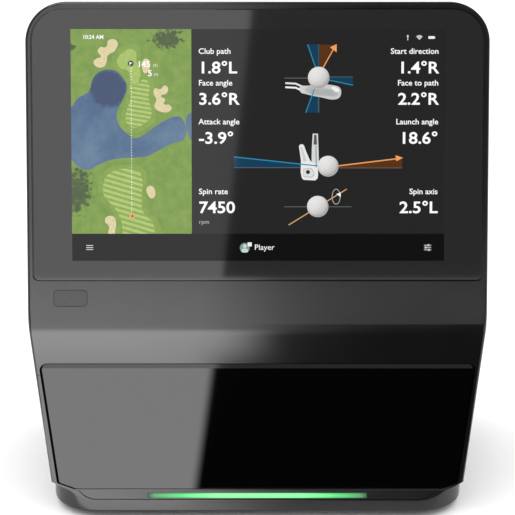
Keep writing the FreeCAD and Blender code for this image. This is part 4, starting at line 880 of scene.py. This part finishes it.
    def _swing_from_side(self, x: float, y: float) -> None:
        """Draws attack and launch angle, seen from the side, about the ball's centre.

        Args:
            x: The ball's centre, to the right.
            y: The ball's centre, down.
        """
        c, g = self.canvas, "screen_graphics"
        c.shape([(x - 323, y - 32), (x - 95, y - 4), (x - 95, y + 6), (x - 323, y + 6)], g, 1, Tint.BLUE_FILL)
        c.shape([(x + 36, y), (x + 254, y - 26), (x + 254, y + 6), (x + 36, y + 6)], g, 1, Tint.ORANGE_FILL)
        c.stroke((x - 323, y + 5), (x - 95, y + 5), 2.6, g, 1.5, "55626a")
        c.stroke((x + 36, y + 6), (x + 254, y + 6), 2.6, g, 1.5, "66584c")
        c.stroke((x + 33, y - 1), (x + 238, y - 26), 4.2, g, 2, Tint.ORANGE)
        c.shape([(x + 231, y - 38), (x + 257, y - 29), (x + 234, y - 17)], g, 2.5, Tint.ORANGE)
        c.shape([(x - 53, y - 112), (x - 35, y - 112), (x - 32, y - 30), (x - 32, y + 8), (x - 57, y + 8),
                 (x - 56, y - 60)], g, 3, "d6d9d7")
        c.shape([(x - 48, y - 108), (x - 40, y - 108), (x - 38, y - 74), (x - 50, y - 74)], g, 3.4, "565958")
        c.shape([(x - 44, y - 72), (x - 40, y - 72), (x - 38, y + 4), (x - 43, y + 4)], g, 3.4, "9da1a0")
        c.shape([(x - 100, y - 68), (x - 97, y - 74), (x - 90, y - 76), (x - 83, y - 72), (x - 76, y - 52),
                 (x - 62, y - 20), (x - 54, y - 12), (x - 36, y - 10), (x - 34, y + 30), (x - 36, y + 42),
                 (x - 44, y + 49), (x - 84, y + 47), (x - 90, y + 40), (x - 94, y + 20), (x - 93, y - 20)],
                g, 3.2, "e8eae8")
        c.shape([(x - 95, y - 64), (x - 90, y - 68), (x - 84, y - 50), (x - 72, y - 18), (x - 84, y - 14)],
                g, 3.5, "cdd0cf")
        c.shape([(x - 86, y + 8), (x - 56, y + 6), (x - 48, y + 18), (x - 46, y + 32), (x - 56, y + 40),
                 (x - 84, y + 38)], g, 3.5, "bfc3c1")
        c.shape([(x - 84, y + 12), (x - 58, y + 10), (x - 51, y + 20), (x - 50, y + 30), (x - 58, y + 36),
                 (x - 82, y + 34)], g, 3.7, "dcdedd")
        c.disc(x - 69, y + 20, 7, g, 3.9, "2c2e2e")
        c.stroke((x - 323, y - 32), (x - 36, y - 1), 3.8, g, 4.2, Tint.BLUE)
        c.ball(x, y, 36)

    def _spin(self, x: float, y: float) -> None:
        """Draws the axis that the ball spins about.

        Args:
            x: The ball's centre, to the right.
            y: The ball's centre, down.
        """
        c, g = self.canvas, "screen_graphics"
        c.stroke((x - 116, y + 1), (x + 116, y + 1), 2.0, g, 1, Tint.GREY)
        c.stroke((x - 100, y + 64), (x + 99, y - 60), 3.4, g, 2, "dca672")
        c.ring(x + 63, y - 34, 15, 27, 2.4, g, 3, "b4b4b4")
        c.shape([(x + 64, y - 43), (x + 78, y - 49), (x + 79, y - 33)], g, 3.5, Tint.WHITE)
        c.ball(x, y, 37)

    def _navigation(self) -> None:
        """Draws the bar of icons along the bottom, and the status icons at the top right."""
        c, g = self.canvas, "screen_graphics"
        for y in (745.5, 752.5, 759.5):
            c.bar(48, y, 72, y + 2.6, g, 2, "d8d8d8")
        c.disc(594, 755, 17, g, 2, "7d9a8f")
        c.disc(594, 749, 6.5, g, 2.5, "c9d8d0")
        c.shape([(582, 767), (586, 759), (594, 757), (602, 759), (606, 767), (594, 771)], g, 2.5, "c9d8d0",
                True)
        c.bar(604, 736, 618, 750, g, 3, "f2f2f2")
        c.text("Player", 627, 762, 27)
        for y, knob in ((746, 1226), (754, 1218), (762, 1228)):
            c.bar(1211, y - 1.1, 1236, y + 1.1, g, 2, "d8d8d8")
            c.bar(knob - 2, y - 4, knob + 2, y + 4, g, 2.5, "d8d8d8")
        c.bar(1149, 24, 1152, 42, g, 2, "d8d8d8")
        c.disc(1150.5, 28, 3.6, g, 2.5, "d8d8d8", sides=10)
        fan = [(1190 + 15 * math.sin(a), 41 - 17 * math.cos(a))
               for a in (math.radians(d) for d in range(-48, 49, 12))]
        c.shape([(1190, 41)] + fan, g, 2, "c4c4c4")
        c.bar(1221, 28, 1242, 37, g, 2, "f4f4f4")
        c.bar(1242, 31, 1244, 34, g, 2, "f4f4f4")


# ------------------------------------------------------------------ lit base and other pieces

@dataclass(frozen=True)
class WindowGapShade:
    """The gap round the camera window, whose walls and floor are painted black with the foam's material, as
    painted shade where the gap lies in shadow.
    """

    nodes: tuple[str, ...] = ("window_surround", "front_housing")
    centre: Corner = (0.0, -70 * MM, 57 * MM)  # of the window's front face
    back: float = -65.2 * MM  # the gap's floor lies just in front of this depth
    top: float = 99.5 * MM
    skin: float = 0.05 * MM

    def line(self, gap_shade: bpy.types.Material) -> None:
        """Paints the gap's faces black as shade, giving them the foam's material as a second material of
        their nodes.

        Args:
            gap_shade: The black material that paints the shade.
        """
        centre = Vector(self.centre)
        for name in self.nodes:
            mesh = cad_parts[name].data
            mesh.materials.append(gap_shade)
            # These faces inside the gap get the painted shade.
            painted_dark = [face for face in mesh.polygons
                     if centre.y + self.skin < face.center.y < self.back and face.center.z < self.top
                     and face.normal.dot(centre - face.center) > 0]
            for face in painted_dark:
                face.material_index = 1
            LOG.info("lined %d faces of %s with %s", len(painted_dark), name, gap_shade.name)


@dataclass
class StatusLight:
    """The frosted light guide in the lip: pale mint over the diodes' middle, deeper green to its ends."""

    reach: float = 65 * MM
    low: float = 13.0 * MM
    high: float = 15.1 * MM

    def dress(self) -> None:
        """Builds the lit acrylic and gives it to the CAD node."""
        made = bpy.data.materials.new("frosted_acrylic_lit_green")
        made.use_nodes = True
        tree = made.node_tree
        tree.nodes.clear()
        coords = node(tree, "TexCoord").outputs["Object"]
        parts = node(tree, "SeparateXYZ", links={"Vector": coords})
        span = node(tree, "MapRange", {"From Min": -self.reach, "From Max": self.reach},
                    {"Value": parts.outputs["X"]})
        ramp = node(tree, "ValToRGB", links={"Fac": span.outputs["Result"]})
        stops = ((0.0, (0.01, 0.06, 0.02)), (0.03, (0.09, 0.40, 0.15)), (0.16, (0.11, 0.86, 0.23)),
                 (0.31, (0.32, 1.5, 0.46)), (0.70, (0.32, 1.5, 0.46)), (0.86, (0.11, 0.86, 0.23)),
                 (0.97, (0.09, 0.40, 0.15)), (1.0, (0.01, 0.06, 0.02)))
        while len(ramp.color_ramp.elements) < len(stops):
            ramp.color_ramp.elements.new(0.5)
        for element, (place, colour) in zip(ramp.color_ramp.elements, stops):
            element.position = place
            element.color = (*colour, 1.0)
        across = node(tree, "MapRange",
                      {"From Min": self.low, "From Max": self.high, "To Min": -1.0, "To Max": 1.0},
                      {"Value": parts.outputs["Z"]})
        square = node(tree, "Math", {"operation": "MULTIPLY"},
                      {"0": across.outputs["Result"], "1": across.outputs["Result"]})
        core = node(tree, "Math", {"operation": "MULTIPLY_ADD", "1": -0.75, "2": 1.0},
                    {"0": square.outputs["Value"]})
        light = node(tree, "VectorMath", {"operation": "SCALE"},
                     {"0": ramp.outputs["Color"], "Scale": core.outputs["Value"]})
        shader = node(tree, "BsdfPrincipled", {"Base Color": linear("1c2a22"), "Roughness": 0.4, "IOR": 1.49,
                                               "Emission Strength": 1.0},
                      {"Emission Color": light.outputs["Vector"]})
        out = node(tree, "OutputMaterial")
        tree.links.new(shader.outputs["BSDF"], out.inputs["Surface"])
        dress(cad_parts["status_light_guide"], made)


# ------------------------------------------------------------------ studio

@dataclass(frozen=True)
class Panel:
    """A large lit panel that only the gloss mirrors, with a soft, leaning edge between its two sides."""

    name: str
    low: Corner  # the lowest corner on every axis
    high: Corner  # the highest; level on Y where it stands, on Z where it lies
    along: str  # the axis that the edge runs along, Y or Z
    edge: float  # where the edge would cross zero on that axis
    left: tuple[float, float]  # strength left of the edge, at both ends of the fade
    right: tuple[float, float]
    fade: tuple[float, float] = (0.0, 1.0)  # where the strengths begin and end to change
    lean: float = 0.0
    soft: float = 4 * MM

    def build(self) -> None:
        """Builds the panel as part of the stage."""
        low, high = Vector(self.low), Vector(self.high)
        size = high - low
        stands = size.y == 0
        place = Matrix.Translation((low + high) / 2) @ Matrix.Rotation(math.pi / 2 if stands else 0.0, 4, "X")
        bm = bmesh.new()
        extent = Matrix.Diagonal((size.x, size.z if stands else size.y, 1.0, 1.0))
        bmesh.ops.create_grid(bm, x_segments=1, y_segments=1, size=0.5, matrix=place @ extent)
        panel = linked(self.name, drained(bm, self.name))
        dress(panel, self._material())
        panel.visible_camera = False
        panel.visible_diffuse = False
        panel.visible_shadow = False
        panel.visible_transmission = False

    def _material(self) -> bpy.types.Material:
        """Builds the panel's light: two strengths that meet at its soft edge.

        Returns:
            The material.
        """
        made = bpy.data.materials.new(self.name)
        made.use_nodes = True
        tree = made.node_tree
        tree.nodes.clear()
        parts = node(tree, "SeparateXYZ", links={"Vector": node(tree, "TexCoord").outputs["Object"]})
        run = parts.outputs[self.along]
        edge = node(tree, "Math", {"operation": "MULTIPLY_ADD", "1": self.lean, "2": self.edge}, {"0": run})
        beyond = node(tree, "Math", {"operation": "SUBTRACT"},
                      {"0": parts.outputs["X"], "1": edge.outputs["Value"]})
        left, right = (node(tree, "MapRange", {"From Min": self.fade[0], "From Max": self.fade[1],
                                               "To Min": side[0], "To Max": side[1]}, {"Value": run})
                       for side in (self.left, self.right))
        level = node(tree, "MapRange", {"interpolation_type": "SMOOTHSTEP", "From Min": -self.soft,
                                        "From Max": self.soft},
                     {"Value": beyond.outputs["Value"], "To Min": left.outputs["Result"],
                      "To Max": right.outputs["Result"]})
        glow = node(tree, "Emission", {"Color": (1.0, 1.0, 1.0, 1.0)}, {"Strength": level.outputs["Result"]})
        out = node(tree, "OutputMaterial")
        tree.links.new(glow.outputs["Emission"], out.inputs["Surface"])
        return made


@dataclass
class Studio:
    """Pale floor, soft light from above, and the large panels that the gloss mirrors."""

    world_light: float = 1.15
    gloss_left: float = 0.55
    gloss_right: float = 0.22
    gloss_behind: float = 0.7  # added in the gloss of the back, which faces away from the panels
    sun_light: float = 1.4
    lift: float = 1.5 * MM  # of the floor's panels
    reach: float = 0.45  # of the panel in front, to both sides
    near: float = -83 * MM
    foot: float = -101 * MM  # the lip mirrors the floor up to here, and the window mirrors it from here
    middle: float = -0.30  # the low part of the front mirrors the floor beyond here
    far: float = -1.07
    hung: float = 1.2  # height of the panel overhead
    near_reach: float = 0.22
    far_reach: float = 0.33
    hung_reach: float = 0.6
    chin_top: float = 0.283  # up to here the front panel is mirrored by the band under the display
    chin_low: float = 0.24
    display_top: float = 0.66
    top: float = 1.15
    rise: float = 22.0  # degrees of the camera above the horizon
    distance: float = 1.55
    drop: float = 64.75 * MM  # of the line of sight under the display's centre
    focal: float = 188.3

    def build(self, target: Vector) -> None:
        """Builds the stage and the camera.

        Args:
            target: The display's centre.
        """
        bpy.context.scene.view_settings.view_transform = "Standard"
        self._air()
        self._floor()
        self._sun()
        for panel in self._panels():
            panel.build()
        self._camera(target)

    def _air(self) -> None:
        """Makes an even light all round, which gloss sees as brighter on the left."""
        world = bpy.data.worlds.new("studio_air")
        bpy.context.scene.world = world
        world.use_nodes = True
        air = world.node_tree
        background = air.nodes["Background"]
        background.inputs["Color"].default_value = (1.0, 1.0, 1.0, 1.0)
        ways = node(air, "SeparateXYZ", links={"Vector": node(air, "TexCoord").outputs["Generated"]})
        gloss = node(air, "MapRange", {"interpolation_type": "SMOOTHSTEP", "From Min": -0.6, "From Max": 0.6,
                                       "To Min": self.gloss_left, "To Max": self.gloss_right},
                     {"Value": ways.outputs["X"]})
        behind = node(air, "MapRange", {"interpolation_type": "SMOOTHSTEP", "From Min": 0.6, "From Max": 0.85,
                                        "To Max": self.gloss_behind}, {"Value": ways.outputs["Y"]})
        both = node(air, "Math", {"operation": "ADD"},
                    {"0": gloss.outputs["Result"], "1": behind.outputs["Result"]})
        glossy = node(air, "LightPath").outputs["Is Glossy Ray"]
        level = node(air, "MapRange", {"To Min": self.world_light},
                     {"Value": glossy, "To Max": both.outputs["Value"]})
        air.links.new(level.outputs["Result"], background.inputs["Strength"])

    def _floor(self) -> None:
        """Makes a plain pale floor."""
        bm = bmesh.new()
        bmesh.ops.create_grid(bm, x_segments=1, y_segments=1, size=6.0)
        floor = linked("floor", drained(bm, "floor"))
        paper = Finish("pale_studio_paper", "f6f6f6", 0.9, Relief.SOFT, grain=2 * MM, depth=0.0,
                       variation=0.01, patch=0.5, specular=0.1)
        dress(floor, paper.material())

    def _sun(self) -> None:
        """Makes one broad soft light from above and a little in front."""
        light = bpy.data.lights.new("overhead", "SUN")
        light.energy = self.sun_light
        light.angle = math.radians(80)
        lamp = bpy.data.objects.new("overhead", light)
        lamp.rotation_euler = (math.radians(18), math.radians(-8), 0.0)
        lamp.visible_glossy = False
        bpy.context.scene.collection.objects.link(lamp)

    def _standing(self, low: float, high: float) -> dict[str, Any]:
        """Gives the corners of a strip of the panel in front, between two heights."""
        return {"low": (-self.reach, self.far, low), "high": (self.reach, self.far, high), "along": "Z"}

    def _lying(self, low: float, high: float, level: float, reach: float) -> dict[str, Any]:
        """Gives the corners of a level strip between two depths, as wide as its mirror image needs."""
        return {"low": (-reach, low, level), "high": (reach, high, level), "along": "Y"}

    def _panels(self) -> tuple[Panel, ...]:
        """Lists the panels: one stands in front, one lies on the floor and one hangs overhead, in strips.

        Returns:
            The strips.
        """
        return (
            Panel("front_foot", **self._standing(0.0, self.chin_low), edge=0.0, soft=24 * MM,
                  left=(3.4, 3.4), right=(0.0, 0.0)),
            Panel("front_low", **self._standing(self.chin_low, self.chin_top), edge=0.0, soft=30 * MM,
                  fade=(self.chin_low, self.chin_top), left=(4.4, 3.2), right=(2.8, 1.1)),
            Panel("front_middle", **self._standing(self.chin_top, self.display_top), edge=-63.4 * MM,
                  lean=0.1058, soft=3 * MM, left=(2.0, 2.0), right=(0.1, 0.1)),
            Panel("front_high", **self._standing(self.display_top, self.top), edge=-42 * MM,
                  fade=(self.display_top, 0.8), left=(2.0, 3.0), right=(0.1, 0.5)),
            Panel("floor_far", **self._lying(self.far, self.middle, self.lift, self.far_reach), edge=-5 * MM,
                  soft=20 * MM, fade=(self.far, -0.55), left=(3.2, 6.3), right=(0.0, 0.0)),
            Panel("floor_middle", **self._lying(self.middle, self.foot, self.lift, self.near_reach),
                  edge=-42.3 * MM, lean=-0.0424, left=(4.8, 4.8), right=(0.0, 0.0)),
            Panel("floor_near", **self._lying(self.foot, self.near, self.lift, self.near_reach),
                  edge=-20 * MM, soft=50 * MM, left=(3.8, 3.8), right=(0.9, 0.9)),
            Panel("overhead_front", **self._lying(-0.8, -0.3, self.hung, self.hung_reach), edge=-30 * MM,
                  soft=25 * MM, left=(1.2, 1.2), right=(0.05, 0.05)),
            Panel("overhead", **self._lying(-0.3, 0.25, self.hung, self.hung_reach), edge=-30 * MM,
                  soft=25 * MM, left=(5.4, 5.4), right=(0.05, 0.05)),
        )

    def _camera(self, target: Vector) -> None:
        """Places a long lens in front of the unit, above the horizon.

        Args:
            target: The display's centre.
        """
        tilt = math.radians(self.rise)
        forward = Vector((0.0, math.cos(tilt), -math.sin(tilt)))
        upward = Vector((0.0, math.sin(tilt), math.cos(tilt)))
        data = bpy.data.cameras.new("camera")
        data.sensor_width = 36.0
        data.lens = self.focal
        data.clip_start = 0.05
        data.clip_end = 40.0
        camera = bpy.data.objects.new("camera", data)
        camera.location = target - forward * self.distance - upward * self.drop
        camera.rotation_mode = "QUATERNION"
        camera.rotation_quaternion = forward.to_track_quat("-Z", "Y")
        bpy.context.scene.collection.objects.link(camera)
        bpy.context.scene.camera = camera


def main() -> None:
    """Builds the stage, dresses the CAD nodes and adds the display's picture."""
    logging.basicConfig(level=logging.INFO, format="%(name)s: %(message)s")
    plane = GlassPlane(tuple(v.co.copy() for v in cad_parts["display_glass"].data.vertices))
    Studio().build(plane.origin)
    for finish, names in DRESS.items():
        made = finish.material()
        for name in names:
            dress(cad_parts[name], made)
            LOG.info("dressed %s in %s", name, finish.title)
    # Paints black shade into the gap round the camera window.
    WindowGapShade().line(FOAM_TAPE_AND_GAP_SHADE.material())
    StatusLight().dress()
    for piece in ScreenPicture(Canvas(plane)).draw():
        LOG.info("made %s with %d faces", piece.name, len(piece.data.polygons))


if __name__ == "__main__":
    main()
